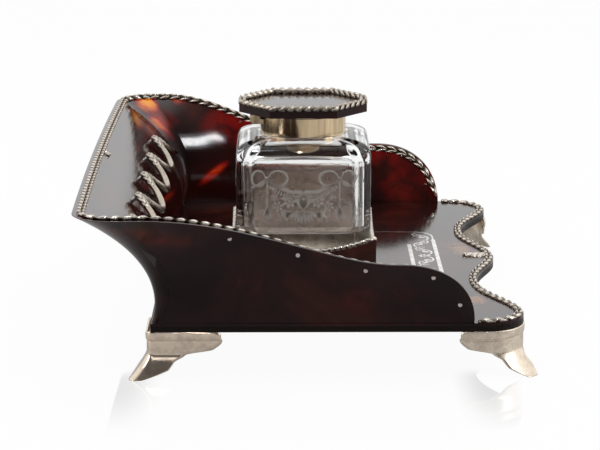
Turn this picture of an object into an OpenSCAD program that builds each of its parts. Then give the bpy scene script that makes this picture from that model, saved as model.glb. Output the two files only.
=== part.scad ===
// Inkstand with a coved back, flared side walls, one square glass bottle, a hinged lid and a pen rack.
// +X is the open front, Y runs across the stand, +Z is up and the feet stand on Z = 0.
// Plan sizes are measured from the middle of the bottle.

/* [Base] */
// Width of the base across the stand
base_w = 196; // [180:1:220]
// From the bottle's middle to the back edge of the base
base_back = 55; // [50:1:62]
// From the bottle's middle to the front corners
corner_x = 79; // [75:0.5:86]
// Radius of the front corners
corner_r = 15; // [10:0.5:18]
// From the bottle's middle to the bulge at the middle of the front
bulge_x = 75.5; // [72:0.5:80]
// From the bottle's middle to the two hollows of the front
hollow_x = 66; // [64:0.5:69]
// From the middle line to each hollow
hollow_y = 38.5; // [34:0.5:44]
// Thickness of the wooden board
board_t = 2.2; // [1.8:0.1:4]
// Thickness of the shell veneer on the board
veneer_t = 1; // [0.8:0.1:1.6]
// Depth of the silver lines let into the veneer
inlay_t = 0.4; // [0.3:0.05:0.6]
// Width of the broad inlaid bars
bar_w = 1.6; // [1:0.1:2.5]
// Width of the narrow inlaid lines
line_w = 0.7; // [0.5:0.1:1.2]
// From the bottle's middle to the first inlaid bar
bar_x = 43.2; // [40:0.2:46]
// Distance between the two inlaid bars
bar_pitch = 10.2; // [8:0.2:12]
// From the middle line to the inlaid side lines
line_y = 40.6; // [34:0.2:48]
// Radius of the bend from each side line to the front bar
bend_r = 8; // [5:0.5:10]

/* [Walls] */
// Thickness of the side walls and of the back panel
wall_t = 2.2; // [1.8:0.1:3]
// Height of the back rim above the base
back_h = 43; // [36:0.5:50]
// Height of the side walls above the base near the front
side_h = 24; // [20:0.5:28]
// From the bottle's middle to the front ends of the side walls
wall_front = 60; // [54:0.5:63]
// How far the back rim overhangs the base
back_flare = 26.6; // [22:0.2:30]
// How far the back panel tucks in before it flares
cove_tuck = 16; // [8:0.5:20]
// Outward lean of the side walls at the middle, as rise to run
side_lean = 0.21; // [0.1:0.01:0.3]
// Outward lean of the side walls at the back
back_lean = 0.58; // [0.4:0.01:0.65]
// Outward lean of the side walls at the front
front_lean = 0.46; // [0.3:0.01:0.55]
// Outward bow of the back rim
back_bow = 1.2; // [0:0.1:3]
// Corner radius of the back rim
rim_corner_r = 14; // [8:0.5:16]
// Width of the silver borders
border_w = 2.7; // [2:0.1:3.4]
// Thickness of the silver borders
border_t = 1.5; // [1:0.1:2]
// Diameter of the pins in the side walls
rivet_d = 1.5; // [1:0.1:2]

/* [Feet] */
// Height of the feet
foot_h = 16.8; // [14:0.2:20]
// Length of a foot's side wing
wing_l = 25.5; // [22:0.5:30]
// Outward reach of a foot's toe
toe_reach = 8.7; // [6:0.1:10]
// Thickness of a foot's metal
foot_t = 1.4; // [1:0.1:2]
// Diameter of the screws that hold the feet
screw_d = 2; // [1.6:0.1:2.6]

/* [Pen rack] */
// Diameter of the rack's wire
wire_d = 2.2; // [1.6:0.1:2.8]
// Distance between two peaks of the rack
peak_pitch = 37; // [32:0.5:40]
// Number of peaks
peak_count = 5; // [3:2:5]
// From the back rim down to the peaks, at the middle of the wire
peak_drop = 10; // [8:0.5:14]
// Height of the waves
wave_h = 9.5; // [7:0.5:12]
// How far the hollows stand in front of the peaks
wave_x = 8; // [6:0.5:9]
// From the back panel to the middle of the wire at the peaks
rack_stand = 3.25; // [3:0.05:4.5]
// Diameter of the pegs between the rack and the back panel
peg_d = 1.6; // [1.2:0.1:2]

/* [Bottle] */
// Width of the square bottle
bottle_w = 52; // [48:0.5:56]
// Height of the bottle's flat faces
face_h = 43; // [36:0.5:46]
// Height of the sloping shoulder
shoulder_h = 7.5; // [6:0.5:12]
// Width of the bottle's cut corners
bottle_cut = 5; // [3:0.5:8]
// Thickness of the bottle's bottom
glass_bottom = 14; // [6:0.5:16]
// Thickness of the bottle's sides
glass_side = 4; // [3:0.5:7]
// Diameter of the neck's bore
neck_bore = 23; // [18:0.5:25]
// Diameter of the neck
neck_d = 30.5; // [28:0.5:31]
// Thickness of the collar
collar_t = 1.4; // [1:0.1:2]
// Height of the collar
collar_h = 7.4; // [5:0.2:9]

/* [Gallery] */
// Clearance between the bottle and the gallery
gallery_gap = 0.6; // [0.4:0.1:1]
// Thickness of the gallery's sides
gallery_t = 1.3; // [1:0.1:2]
// Height of the gallery at its corners
gallery_h = 13.4; // [11:0.2:16]
// Height of the gallery at the middle of each side
gallery_dip = 8.6; // [6:0.2:10]
// Diameter of the rope on the gallery
rope_d = 2; // [1.4:0.1:2.4]

/* [Lid] */
// Width of the octagonal lid from its hinge side to its front
lid_w = 49.6; // [46:0.2:52]
// Depth of the lid across the stand
lid_d = 42; // [38:0.2:52]
// Length of the lid's cut corners along its long sides
lid_cut = 12; // [8:0.5:14]
// Length of the lid's cut corners along its short sides
lid_end_cut = 15; // [8:0.5:17]
// Thickness of the lid's shell plate
lid_t = 2.8; // [2:0.1:3.6]
// Thickness of the lid's silver mount
cap_t = 1; // [0.8:0.1:1.4]
// Width of the rope on the lid
lid_rope = 2.8; // [2:0.1:3.4]
// Depth of the liner in the neck
liner_h = 2; // [1:0.2:4]
// Outside diameter of the hinge knuckles
knuckle_d = 3.8; // [3.2:0.1:4.4]
// Diameter of the hinge pin
pin_d = 1.6; // [1.2:0.1:2]
// Length of the lid's middle knuckle
knuckle_l = 6; // [4:0.2:8]

/* [Hidden] */
$fn = 48;

// Clearances and small gaps
seat_gap = 0.03;      // between pieces that seat on each other
joint_gap = 0.06;     // between curved pieces of one body
run_gap = 0.05;       // radial play of the hinge pin in the lid's knuckle
lift_gap = 0.2;       // between pieces that part when the lid opens

// Levels above the floor
board_z = foot_h;
base_z = board_z + board_t + veneer_t;
glass_z = base_z + lift_gap;
neck_z = glass_z + face_h + shoulder_h;
collar_z = neck_z + collar_h;
cap_z = collar_z + lift_gap;
plate_z = cap_z + cap_t;
plate_top = plate_z + lid_t;

// Plan sizes
half_w = base_w / 2;
well_w = bottle_w + 2 * gallery_gap;
gallery_w = well_w + 2 * gallery_t;
collar_d = neck_d + 2 * (seat_gap + collar_t);
hinge_x = -(collar_d + knuckle_d) / 2 - lift_gap;
hinge_z = collar_z - knuckle_d / 2 + lift_gap;

// Shape of the walls: where the curves begin and how strongly they curl
wall_inset = 0.3;
rim_flat_x = -58;
lean_back_x = -63;
lean_mid_x = 0;
end_round = 27;
end_power = 2.2;
rim_power = 0.92;
curl_side = 1.4;
curl_back = 2.3;
cove_curl = 1.85;
low_corner_r = 3;
cut_corner = 2.5;
lean_thicker = 1.35;  // walls are measured level, so they get thicker where they lean
corner_power = 1.2;   // how late the front edge turns out to its corners
wall_steps = 36;
rise_steps = 10;

// Steps for slopes of curves: along a curve, and from just below a rim up to it
tiny = 0.004;
rise_from = 0.95;

// Plain helpers
function mix(a, b, t) = a + (b - a) * t;
function ease(t) = (1 - cos(180 * min(1, max(0, t)))) / 2;
function unit(v) = v / norm(v);
function reversed(v) = [for (i = [len(v) - 1:-1:0]) v[i]];
function ring_at(points, z) = [for (p = points) [p[0], p[1], z]];

// Six times the volume inside a closed set of triangles, negative if they face inwards
function signed_volume(points, faces) =
    [for (f = faces) points[f[0]] * cross(points[f[1]], points[f[2]])] * [for (f = faces) 1];

// Solid through a row of rings that all have the same number of points.
// A closed row joins its last ring to its first. An open one is capped with bands across its thin rings,
// or with fans from the middle of its broad rings.
module loft(rings, closed = false, broad = false) {
    count = len(rings[0]);
    rows = len(rings);
    corners = [for (r = rings) each r];
    middles = [for (r = [rings[0], rings[rows - 1]]) [for (p = r) 1] * r / count];
    points = broad ? concat(corners, middles) : corners;
    sides = [
        for (i = [0:closed ? rows - 1 : rows - 2])
            for (j = [0:count - 1])
                let (k = (j + 1) % count, a = i * count, b = ((i + 1) % rows) * count)
                    each [[a + j, b + j, b + k], [a + j, b + k, a + k]]
    ];
    first_cap = broad
        ? [for (j = [0:count - 1]) [rows * count, j, (j + 1) % count]]
        : [for (j = [0:count / 2 - 2]) each [[j, j + 1, count - 2 - j], [j, count - 2 - j, count - 1 - j]]];
    shift = (rows - 1) * count;
    last_cap = broad
        ? [for (f = first_cap) [f[0] + 1, f[2] + shift, f[1] + shift]]
        : [for (f = first_cap) [f[0] + shift, f[2] + shift, f[1] + shift]];
    faces = closed ? sides : concat(sides, first_cap, last_cap);
    outward = signed_volume(points, faces) < 0;
    polyhedron(points, outward ? faces : [for (f = faces) [f[0], f[2], f[1]]], convexity = 6);
}

// Solid between two sheets given as grids of points, used for the walls and the back panel
module sheet(outer, inner) {
    loft([for (i = [0:len(outer) - 1]) concat(outer[i], reversed(inner[i]))]);
}

// Both sides of the stand
module on_both_sides() {
    children();
    mirror([0, 1, 0]) children();
}

// Everything is drawn in the bottle's plan and then centred
module placed() {
    translate([x_shift, 0, 0]) children();
}

// Outline of the base, from the middle of the front to the left corner
serp_steps = 16;
arc_steps = 10;
corner_y = half_w - corner_r;
function serpentine_x(y) =
    y < hollow_y
        ? mix(bulge_x, hollow_x, ease(y / hollow_y))
        : mix(hollow_x, corner_x, ease(pow((y - hollow_y) / (corner_y - hollow_y), corner_power)));
function outline_half(inset) = concat(
    [for (i = [0:2 * serp_steps - 1])
        let (y = corner_y * i / (2 * serp_steps)) inset_point(y, inset)],
    [for (i = [0:arc_steps])
        let (a = 90 * i / arc_steps, r = corner_r - inset)
            [corner_x - corner_r + r * cos(a), corner_y + r * sin(a)]],
    [[-base_back + inset, half_w - inset]]
);
// A point of the serpentine moved inwards along its normal
function inset_point(y, inset) =
    let (slope = (serpentine_x(y + tiny) - serpentine_x(abs(y - tiny))) / (2 * tiny), n = unit([1, -slope]))
        [serpentine_x(y), y] - inset * n;
function base_outline(inset = 0) = concat(
    outline_half(inset),
    [for (p = reversed([for (i = [1:len(outline_half(inset)) - 1]) outline_half(inset)[i]])) [p[0], -p[1]]]
);

// Height of the side rim above the base at a distance x from the bottle's middle
round_x = wall_front - end_round;
function rim_h(x) =
    x <= rim_flat_x ? back_h :
    x < round_x
        ? mix(back_h, side_h, ease(pow((x - rim_flat_x) / (round_x - rim_flat_x), rim_power)))
        : side_h * pow(max(0, 1 - pow((x - round_x) / end_round, end_power)), 1 / end_power);
function back_part(x) = ease((lean_mid_x - x) / (lean_mid_x - lean_back_x));
function lean(x) =
    side_lean + (back_lean - side_lean) * back_part(x)
    + (front_lean - side_lean) * ease((x - lean_mid_x) / (round_x - lean_mid_x));
function curl(x) = mix(curl_side, curl_back, back_part(x));
// Half width of the stand at the share s of the rim's height
function side_y(x, s) = half_w - wall_inset + lean(x) * rim_h(x) * pow(s, curl(x));

// Back panel: its outer face, its half width and its corner radius at the share s of its height
panel_x = base_back - wall_inset;
function cove_x(s) = -(panel_x - cove_tuck * s + (back_flare + cove_tuck) * pow(s, cove_curl));
function back_y(s) = side_y(lean_back_x, s);
function back_r(s) = mix(low_corner_r, rim_corner_r, s);
// The back panel's path at one level, moved inwards by t: corner arc, bowed middle, corner arc
function back_path(s, t) =
    let (
        r = back_r(s),
        yc = back_y(s) - r,
        xc = cove_x(s) + r,
        arc = [for (a = [90:15:180]) [xc + (r - t) * cos(a), yc + (r - t) * sin(a)]],
        middle = [for (k = [0.75:-0.25:-0.75]) [xc - r + t - back_bow * s * (1 - k * k), yc * k]]
    )
    concat(arc, middle, reversed([for (p = arc) [p[0], -p[1]]]));
function level_t(s) = wall_t * mix(1, lean_thicker, s);

// Side walls: a point of the outer face at the share u of the length and s of the height
wall_back = cove_x(1) + back_r(1);
function wall_x(u) = mix(wall_back, wall_front, sin(90 * u));
function wall_s(u, s) =
    let (
        d = max(0, 1 - (wall_x(u) - wall_back) / cut_corner),
        lift = cut_corner * (1 - sqrt(1 - d * d)),
        low = lift / rim_h(wall_x(u))
    )
    low + (1 - low) * s;
function wall_point(u, s, t = 0) =
    let (
        x = wall_x(u),
        v = wall_s(u, s),
        slide = (cove_x(v) + back_r(v) - wall_back) * (1 - ease((x - wall_back) / end_round / 2)),
        thick = t * mix(1, lean_thicker, back_part(x) * v)
    )
    [x + slide + joint_gap, side_y(x, v) - thick, base_z + rim_h(x) * v];
wall_end = 0.985;     // the walls stop just short of the point where the rim meets the base

module side_wall() {
    u_steps = [for (i = [0:wall_steps]) wall_end * i / wall_steps];
    s_steps = [for (j = [0:rise_steps]) j / rise_steps];
    difference() {
        sheet(
            [for (u = u_steps) [for (s = s_steps) wall_point(u, s)]],
            [for (u = u_steps) [for (s = s_steps) wall_point(u, s, wall_t)]]
        );
        rivets(rivet_d + 2 * seat_gap);
    }
}

module back_panel() {
    s_steps = [for (j = [0:rise_steps]) j / rise_steps];
    color([0.16, 0.05, 0.03]) placed() difference() {
        sheet(
            [for (s = s_steps) ring_at(back_path(s, 0), base_z + back_h * s)],
            [for (s = s_steps) ring_at(back_path(s, level_t(s)), base_z + back_h * s)]
        );
        pegs(peg_d + 2 * seat_gap, seat_gap);
    }
}

module left_wall() { color([0.16, 0.05, 0.03]) placed() side_wall(); }
module right_wall() { color([0.16, 0.05, 0.03]) placed() mirror([0, 1, 0]) side_wall(); }

// Pins through the side walls below the rim, and one at the rounded front end
rivet_count = 4;
rivet_proud = 0.25;
rivet_pitch = 23.7;
rivet_first_x = -26.4;
rivet_drop = 3.4;
end_rivet_in = 5.4;
end_rivet_h = 7.4;
function rivet_spots() = concat(
    [for (i = [0:rivet_count - 1]) let (x = rivet_first_x + i * rivet_pitch) [x, rim_h(x) - rivet_drop]],
    [[wall_front - end_rivet_in, end_rivet_h]]
);
module rivets(d) {
    for (p = rivet_spots()) {
        y = side_y(p[0], p[1] / rim_h(p[0]));
        translate([p[0], y + rivet_proud, base_z + p[1]])
            rotate([90, 0, 0]) cylinder(d = d, h = wall_t + rivet_proud);
    }
}
module wall_rivets() { color([0.85, 0.82, 0.78]) placed() on_both_sides() rivets(rivet_d); }

// Silver strips, swept along a path with a rounded section that stands on the path's surface
strip_side = 0.55;    // height of a strip's upright edges, as a share of its thickness
strip_crown = 0.56;   // width of a strip's flat crown, as a share of its width
function strip_section(w, t) =
    let (edge = w / 2, crown = w / 2 * strip_crown, rise = t * strip_side)
        [[-edge, 0], [edge, 0], [edge, rise], [crown, t], [-crown, t], [-edge, rise]];
// points: the path; across: unit vectors in the surface; normals: unit vectors out of it
module strip(points, across, normals, w, t, gap = joint_gap, closed = false) {
    loft([
        for (i = [0:len(points) - 1])
            [for (q = strip_section(w, t)) points[i] + q[0] * across[i] + (q[1] + gap) * normals[i]]
    ], closed);
}

// Directions at the inner rim of a side wall
function inner_rim(u) = wall_point(min(wall_end, max(0, u)), 1, wall_t);
function rim_along(u) = unit(inner_rim(u + tiny) - inner_rim(u - tiny));
function rim_rise(u) = inner_rim(u) - wall_point(u, rise_from, wall_t);
function rim_in(u) = unit(cross(rim_rise(u), rim_along(u)));
function rim_across(u) = cross(rim_along(u), rim_in(u));
border_set = 1.2;     // how far the borders stand above the rims
border_start = 0.004; // where the side borders start, clear of the back border's ends
module side_border() {
    u_steps = [for (i = [0:wall_steps]) mix(border_start, wall_end, i / wall_steps)];
    strip(
        [for (u = u_steps) inner_rim(u) - (border_w / 2 - border_set) * rim_across(u)],
        [for (u = u_steps) rim_across(u)],
        [for (u = u_steps) -rim_in(u)],
        border_w, border_t
    );
}
module left_border() { color([0.82, 0.79, 0.74]) placed() side_border(); }
module right_border() { color([0.82, 0.79, 0.74]) placed() mirror([0, 1, 0]) side_border(); }

// Border inside the back rim
back_border_w = border_w * 1.2;
function panel_point(i, s) = let (p = back_path(s, level_t(s))[i]) [p[0], p[1], base_z + back_h * s];
panel_last = len(back_path(1, 0)) - 1;
function panel_along(i) = unit(panel_point(min(panel_last, i + 1), 1) - panel_point(max(0, i - 1), 1));
function panel_in(i) = unit(cross(panel_point(i, 1) - panel_point(i, rise_from), panel_along(i)));
function panel_across(i) = cross(panel_along(i), panel_in(i));
module back_border() {
    color([0.82, 0.79, 0.74]) placed() strip(
        [for (i = [0:panel_last]) panel_point(i, 1) - (back_border_w / 2 - border_set) * panel_across(i)],
        [for (i = [0:panel_last]) panel_across(i)],
        [for (i = [0:panel_last]) panel_in(i)],
        back_border_w, border_t
    );
}

// Leaf ornaments: a pointed outline, stem at the origin and tip along +X
leaf_l = 9;
leaf_w = 5.5;
leaf_t = 1.2;
back_leaf_l = 2.6;
back_leaf_w = 3;
leaf_power = 0.8;     // below 1 the leaf is full, and broadest near its stem
module leaf(l, w, t) {
    n = 10;
    side = [
        for (i = [0:n])
            let (k = i / n) [l * k, w / 2 * pow(sin(180 * pow(k, leaf_power)), leaf_power)]
    ];
    linear_extrude(t) polygon(concat(side, [for (i = [n - 1:-1:1]) [side[i][0], -side[i][1]]]));
}
// The back leaf hangs from the middle of the back border, flat on the panel
module back_leaf() {
    middle = panel_last / 2;
    down = -panel_across(middle);
    start = panel_point(middle, 1) + (back_border_w - border_set + joint_gap) * down
        + joint_gap * panel_in(middle);
    tilt = atan2(-down[2], down[0]);
    color([0.82, 0.79, 0.74]) placed()
        translate(start) rotate([0, tilt, 0]) leaf(back_leaf_l, back_leaf_w, leaf_t);
}

// Border on the base round the front, in two halves that leave room for the middle leaf
border_edge = 0.4;
front_inset = border_w / 2 + border_edge;
function front_path() =
    let (half = outline_half(front_inset), n = len(half))
        concat([for (i = [1:n - 2]) half[i]], [[wall_front + border_w / 2, half_w - front_inset]]);
function flat_across(points, i) =
    let (d = unit(points[min(len(points) - 1, i + 1)] - points[max(0, i - 1)])) [d[1], -d[0], 0];
// Outline of a band along a flat path
function band(points, half) =
    let (
        sides = [for (i = [0:len(points) - 1]) let (n = flat_across(points, i)) half * [n[0], n[1]]]
    )
    concat(
        [for (i = [0:len(points) - 1]) points[i] + sides[i]],
        [for (i = [len(points) - 1:-1:0]) points[i] - sides[i]]
    );
module front_border() {
    path = front_path();
    rows = [for (i = [0:len(path) - 1]) i];
    color([0.82, 0.79, 0.74]) placed() on_both_sides() strip(
        [for (i = rows) [path[i][0], path[i][1], base_z]],
        [for (i = rows) flat_across(path, i)],
        [for (i = rows) [0, 0, 1]],
        border_w, border_t, 0
    );
}
module front_leaf() {
    stem_x = bulge_x - front_inset - border_w / 2 - joint_gap;
    color([0.82, 0.79, 0.74]) placed()
        translate([stem_x, 0, base_z]) mirror([1, 0, 0]) leaf(leaf_l, leaf_w, leaf_t);
}

// Feet: brackets round the corners of the base. Each is given as its corner's centre, its corner radius,
// the side of the corner along X, the lengths of its side wing and its end wing, its toe's half width,
// and how far its toe flares along X and along Y.
foot_edge_r = 2.5;
end_wing_l = 20;
front_wing_l = 20;
toe_l = 12.6;
front_toe_l = 6.5;
back_proud = 1;          // how far the back feet stand out behind the base
moulding_out = 0.3;
moulding_h = 0.84;
toe_start = 0.57;
toe_round = 0.14;
toe_tip = 0.05;
ogee_low = 0.46;
ogee_rise = 0.21;
flare_power = 1.2;
toe_power = 0.7;
back_flare_y = 0.67;  // flare along Y as a share of the toe's reach
front_flare_x = 0.83;
front_flare_y = 0.37;
back_foot = [
    base_back + back_proud - foot_edge_r, half_w - foot_edge_r, foot_edge_r, -1, wing_l, end_wing_l, toe_l,
    toe_reach - back_proud, toe_reach * back_flare_y
];
front_foot = [
    corner_x - corner_r, corner_y, corner_r, 1, front_wing_l, front_wing_l, front_toe_l,
    toe_reach * front_flare_x, toe_reach * front_flare_y
];
function foot_levels() = [for (i = [0:20]) i / 20];
// Outward offset along X and Y at the share h of the height: a moulding at the top and a flared toe
function foot_out(f, h) =
    h > moulding_h
        ? moulding_out * [1, 1]
        : pow(max(0, 1 - h / toe_start), flare_power) * [f[7], f[8]];
// Length of a wing at the share h of the height: a rounded toe, then an ogee out to the full wing
function wing_at(full, toe, h) =
    toe * pow(min(1, h / toe_round + toe_tip), toe_power)
    + (full - toe) * ease((h - ogee_low) / ogee_rise);
// Point at the distance a along the bracket from the middle of its corner, with the bracket moved out by d
// and thinned by t
function foot_point(f, a, d, t = 0) =
    let (
        r = f[2],
        q = r * PI / 4,
        turn = 45 - min(q, max(-q, a)) / r * 180 / PI,
        along = max(0, abs(a) - q),
        x = f[0] + d[0] + (r - t) * cos(turn) - (a < 0 ? along : 0),
        y = f[1] + d[1] + (r - t) * sin(turn) - (a > 0 ? along : 0)
    )
    [f[3] * x, y];
function foot_ring(f, h) =
    let (
        n = 12,
        from = -wing_at(f[4], f[6], h),
        to = wing_at(f[5], f[6], h),
        d = foot_out(f, h),
        outer = [for (i = [0:n]) foot_point(f, mix(from, to, i / n), d)],
        inner = [for (i = [n:-1:0]) foot_point(f, mix(from, to, i / n), d, foot_t)]
    )
    ring_at(concat(outer, inner), foot_h * h);

// The flat plate inside the top of a foot, which takes the screws
plate_t = 1.2;
plate_share = 0.75;
screw_share = 0.42;
screw_in = 5;
screw_bite = 1.6;
function foot_screw_spots(f) =
    [for (a = [-f[4], f[5]]) foot_point(f, a * screw_share, [-screw_in, -screw_in])];
module bracket_foot(f) {
    loft([for (h = foot_levels()) foot_ring(f, h)]);
    difference() {
        translate([0, 0, foot_h - plate_t]) linear_extrude(plate_t) polygon(
            [for (i = [0:12]) foot_point(f, plate_share * mix(-f[4], f[5], i / 12), [0, 0], foot_t / 2)]
        );
        for (p = foot_screw_spots(f))
            translate([p[0], p[1], foot_h - 2 * plate_t])
                cylinder(d = screw_d + 2 * seat_gap, h = 3 * plate_t);
    }
}
module screws(d, below, above) {
    for (f = [back_foot, front_foot])
        for (p = foot_screw_spots(f))
            translate([p[0], p[1], board_z - below]) cylinder(d = d, h = below + above);
}
foot_colour = [0.84, 0.80, 0.74];
module back_left_foot() { color(foot_colour) placed() bracket_foot(back_foot); }
module back_right_foot() { color(foot_colour) placed() mirror([0, 1, 0]) bracket_foot(back_foot); }
module front_left_foot() { color(foot_colour) placed() bracket_foot(front_foot); }
module front_right_foot() { color(foot_colour) placed() mirror([0, 1, 0]) bracket_foot(front_foot); }
module foot_screws() {
    color([0.7, 0.68, 0.64]) placed() on_both_sides() {
        screws(screw_d, plate_t, screw_bite);
        translate([0, 0, -plate_t]) screws(2 * screw_d, plate_t / 2, 0);
    }
}

// Base: board, veneer and the inlaid frame
module base_board() {
    color([0.12, 0.05, 0.03]) placed() difference() {
        translate([0, 0, board_z]) linear_extrude(board_t) polygon(base_outline());
        on_both_sides() screws(screw_d + 2 * seat_gap, plate_t, screw_bite + seat_gap);
        gallery_holes(seat_gap);
    }
}
module base_veneer() {
    color([0.16, 0.05, 0.03]) placed() difference() {
        translate([0, 0, base_z - veneer_t]) linear_extrude(veneer_t) polygon(base_outline());
        translate([0, 0, base_z - inlay_t]) linear_extrude(2 * inlay_t) inlay_lines(seat_gap);
        gallery_holes(seat_gap);
    }
}
// Two bars in front of the bottle, and a line on each side that runs forwards and bends in to the front bar
line_back = 30;
bar_halves = [19, 27]; // from the middle line to the ends of the back bar and of the front bar
front_bar_x = bar_x + bar_pitch;
bend_x = front_bar_x - bend_r;
bend_y = line_y - bend_r;
module inlay_lines(grow) {
    for (i = [0, 1])
        translate([bar_x + i * bar_pitch - bar_w / 2 - grow, -bar_halves[i] - grow])
            square([bar_w + 2 * grow, 2 * (bar_halves[i] + grow)]);
    bend = [for (a = [90:-15:0]) [bend_x + bend_r * cos(a), bend_y + bend_r * sin(a)]];
    path = concat([[-line_back - grow, line_y]], bend, [[front_bar_x, bar_halves[1]]]);
    for (side = [0, 1]) mirror([0, side]) polygon(band(path, line_w / 2 + grow));
}
module base_inlay() {
    color([0.88, 0.86, 0.82]) placed()
        translate([0, 0, base_z - inlay_t]) linear_extrude(inlay_t) inlay_lines(0);
}

// Gallery round the bottle
gallery_pin_d = 0.9;
gallery_pin_l = 2;
gallery_power = 2.2;
gallery_flat = gallery_w / 2 - 1.5 * gallery_t; // the top edges are level beyond this, at the corners
function gallery_top(y) = mix(gallery_dip, gallery_h, pow(min(1, abs(y) / gallery_flat), gallery_power));
module gallery_side() {
    n = 24;
    half = gallery_w / 2;
    edge = [for (i = [0:n]) let (y = mix(half, -half, i / n)) [y, gallery_top(y)]];
    translate([half, 0, base_z]) rotate([90, 0, -90]) linear_extrude(gallery_t)
        polygon(concat([[-half, 0], [half, 0]], edge));
}
module gallery_holes(gap) {
    spot = (gallery_w - gallery_t) / 2;
    for (x = [-spot, spot])
        for (y = [-spot, spot])
            translate([x, y, base_z - gallery_pin_l - gap])
                cylinder(d = gallery_pin_d + 2 * gap, h = 2 * (gallery_pin_l + gap));
}
module gallery() {
    color([0.84, 0.81, 0.76]) placed() difference() {
        union() for (a = [0:90:270]) rotate([0, 0, a]) gallery_side();
        gallery_holes(seat_gap);
    }
}
module gallery_pins() { color([0.7, 0.68, 0.64]) placed() gallery_holes(0); }
// One closed rope that follows the dipping top edges, on a plan with rounded corners
module gallery_border() {
    n = 12;
    half = (gallery_w - gallery_t) / 2;
    r = gallery_t;
    path = [
        for (a = [0:90:270])
            for (i = [0:n])
                let (y = mix(-half + r, half - r, i / n), z = base_z + gallery_top(y) + seat_gap)
                    [half * cos(a) - y * sin(a), half * sin(a) + y * cos(a), z]
    ];
    corner_turn = 30;
    outwards = [
        for (a = [0:90:270])
            for (i = [0:n])
                let (b = a + (i == 0 ? -corner_turn : i == n ? corner_turn : 0)) [cos(b), sin(b), 0]
    ];
    color([0.84, 0.81, 0.76]) placed()
        strip(path, outwards, [for (p = path) [0, 0, 1]], rope_d, rope_d, seat_gap, true);
}

// Pen rack: a wire that waves across the stand in one leaning plane, hung on pegs at its peaks.
// The peaks keep their distance from the back rim and from the inner face of the back panel.
peak_h = back_h - peak_drop;
peak_s = peak_h / back_h;
panel_in_x = cove_x(peak_s) + level_t(peak_s);
peak_x = panel_in_x + rack_stand;
rack_end = peak_pitch * peak_count / 2;
rack_lean = unit([-wave_x, 0, wave_h]);
rack_out = cross([0, 1, 0], rack_lean);
// From 0 at a sharp peak to 1 at the middle of a round hollow
peak_round = 0.2;
function wave(y) =
    let (s = sin(180 * y / peak_pitch), low = peak_round, high = norm([1, peak_round]))
        (norm([s, peak_round]) - low) / (high - low);
function rack_point(y) =
    let (c = wave(y)) [peak_x + wave_x * c, y, base_z + peak_h - wave_h * c];
function peak_ys() = [for (i = [0:peak_count - 1]) (i - (peak_count - 1) / 2) * peak_pitch];
module rack_wire(d) {
    n = 12 * peak_count;
    loft([
        for (i = [0:n])
            let (
                y = mix(-rack_end, rack_end, i / n),
                along = unit(rack_point(y + tiny) - rack_point(y - tiny)),
                side = cross(along, rack_out)
            )
            [for (k = [0:7]) rack_point(y) + d / 2 * (cos(45 * k) * rack_out + sin(45 * k) * side)]
    ]);
}
bud_proud = 0.9;
bud_d = wire_d + 2 * bud_proud;
peg_bite = 0.8;       // how deep the pegs go into the back panel
peg_slope = (cove_x(peak_s + tiny) - cove_x(peak_s - tiny)) / (2 * tiny * back_h);
// From the wire back to the bowed panel, square to the plane of the waves
function peg_l(y) =
    let (k = y / (back_y(peak_s) - back_r(peak_s)), bow = back_bow * peak_s * (1 - k * k))
        (rack_stand + bow) / (rack_out[0] - peg_slope * rack_out[2]);
module pegs(d, extra) {
    from = wire_d / 2 + joint_gap;
    for (y = peak_ys())
        translate([peak_x, y, base_z + peak_h] - from * rack_out)
            rotate([0, atan2(-rack_out[0], -rack_out[2]), 0])
                cylinder(d = d, h = peg_l(y) + peg_bite - from + extra);
}
module pen_rack() { color([0.86, 0.83, 0.78]) placed() rack_wire(wire_d); }
module rack_leaves() {
    color([0.86, 0.83, 0.78]) placed() difference() {
        for (y = peak_ys()) translate(rack_point(y)) sphere(d = bud_d, $fn = 32);
        rack_wire(wire_d + 2 * joint_gap);
        pegs(peg_d + 2 * seat_gap, 0);
    }
}
module rack_pegs() { color([0.86, 0.83, 0.78]) placed() pegs(peg_d, 0); }

// Bottle: eight-sided rings that turn round at the shoulder
function cut_corners(w, d, cut_x, cut_y) =
    let (
        corner = [[w / 2, d / 2 - cut_y], [w / 2 - cut_x, d / 2]],
        half = concat(corner, [for (p = reversed(corner)) [-p[0], p[1]]]),
        v = concat(half, -half),
        steps = 4
    )
    [for (i = [0:7]) for (k = [0:steps - 1]) mix(v[i], v[(i + 1) % 8], k / steps)];
function glass_ring(w, cut, d, turn, z) = ring_at(
    [for (p = cut_corners(w, w, cut, cut)) mix(p, d / 2 * unit(p), turn)], z
);
shoulder_power = 1.6; // above 1 the shoulder stays square, and then turns over quickly to the neck
foot_bevel = 1.5;
module glass_form(w, cut, d, low, high, rise) {
    loft(concat(
        [glass_ring(w - 2 * foot_bevel, cut, d, 0, low), glass_ring(w, cut, d, 0, low + foot_bevel)],
        [for (k = [0:15:90]) glass_ring(w, cut, d, pow(1 - cos(k), shoulder_power), high + rise * sin(k))]
    ), broad = true);
}
collar_lip = 0.8;
neck_step = 0.6;      // small ledges where the shoulder meets the neck and its bore
neck_top = collar_z - collar_lip - seat_gap;
module bottle_glass() {
    inner_w = bottle_w - 2 * glass_side;
    inner_cut = bottle_cut / 2;
    color([0.85, 0.9, 0.9, 0.5]) placed() difference() {
        union() {
            glass_form(bottle_w, bottle_cut, neck_d + 2 * neck_step, glass_z, glass_z + face_h, shoulder_h);
            translate([0, 0, neck_z - 1]) cylinder(d = neck_d, h = neck_top - neck_z + 1);
        }
        glass_form(
            inner_w, inner_cut, neck_bore - 2 * neck_step,
            glass_z + glass_bottom, glass_z + face_h - glass_side, shoulder_h
        );
        translate([0, 0, neck_z - glass_side - 1]) cylinder(d = neck_bore, h = 2 * (glass_side + collar_h));
    }
}

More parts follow.
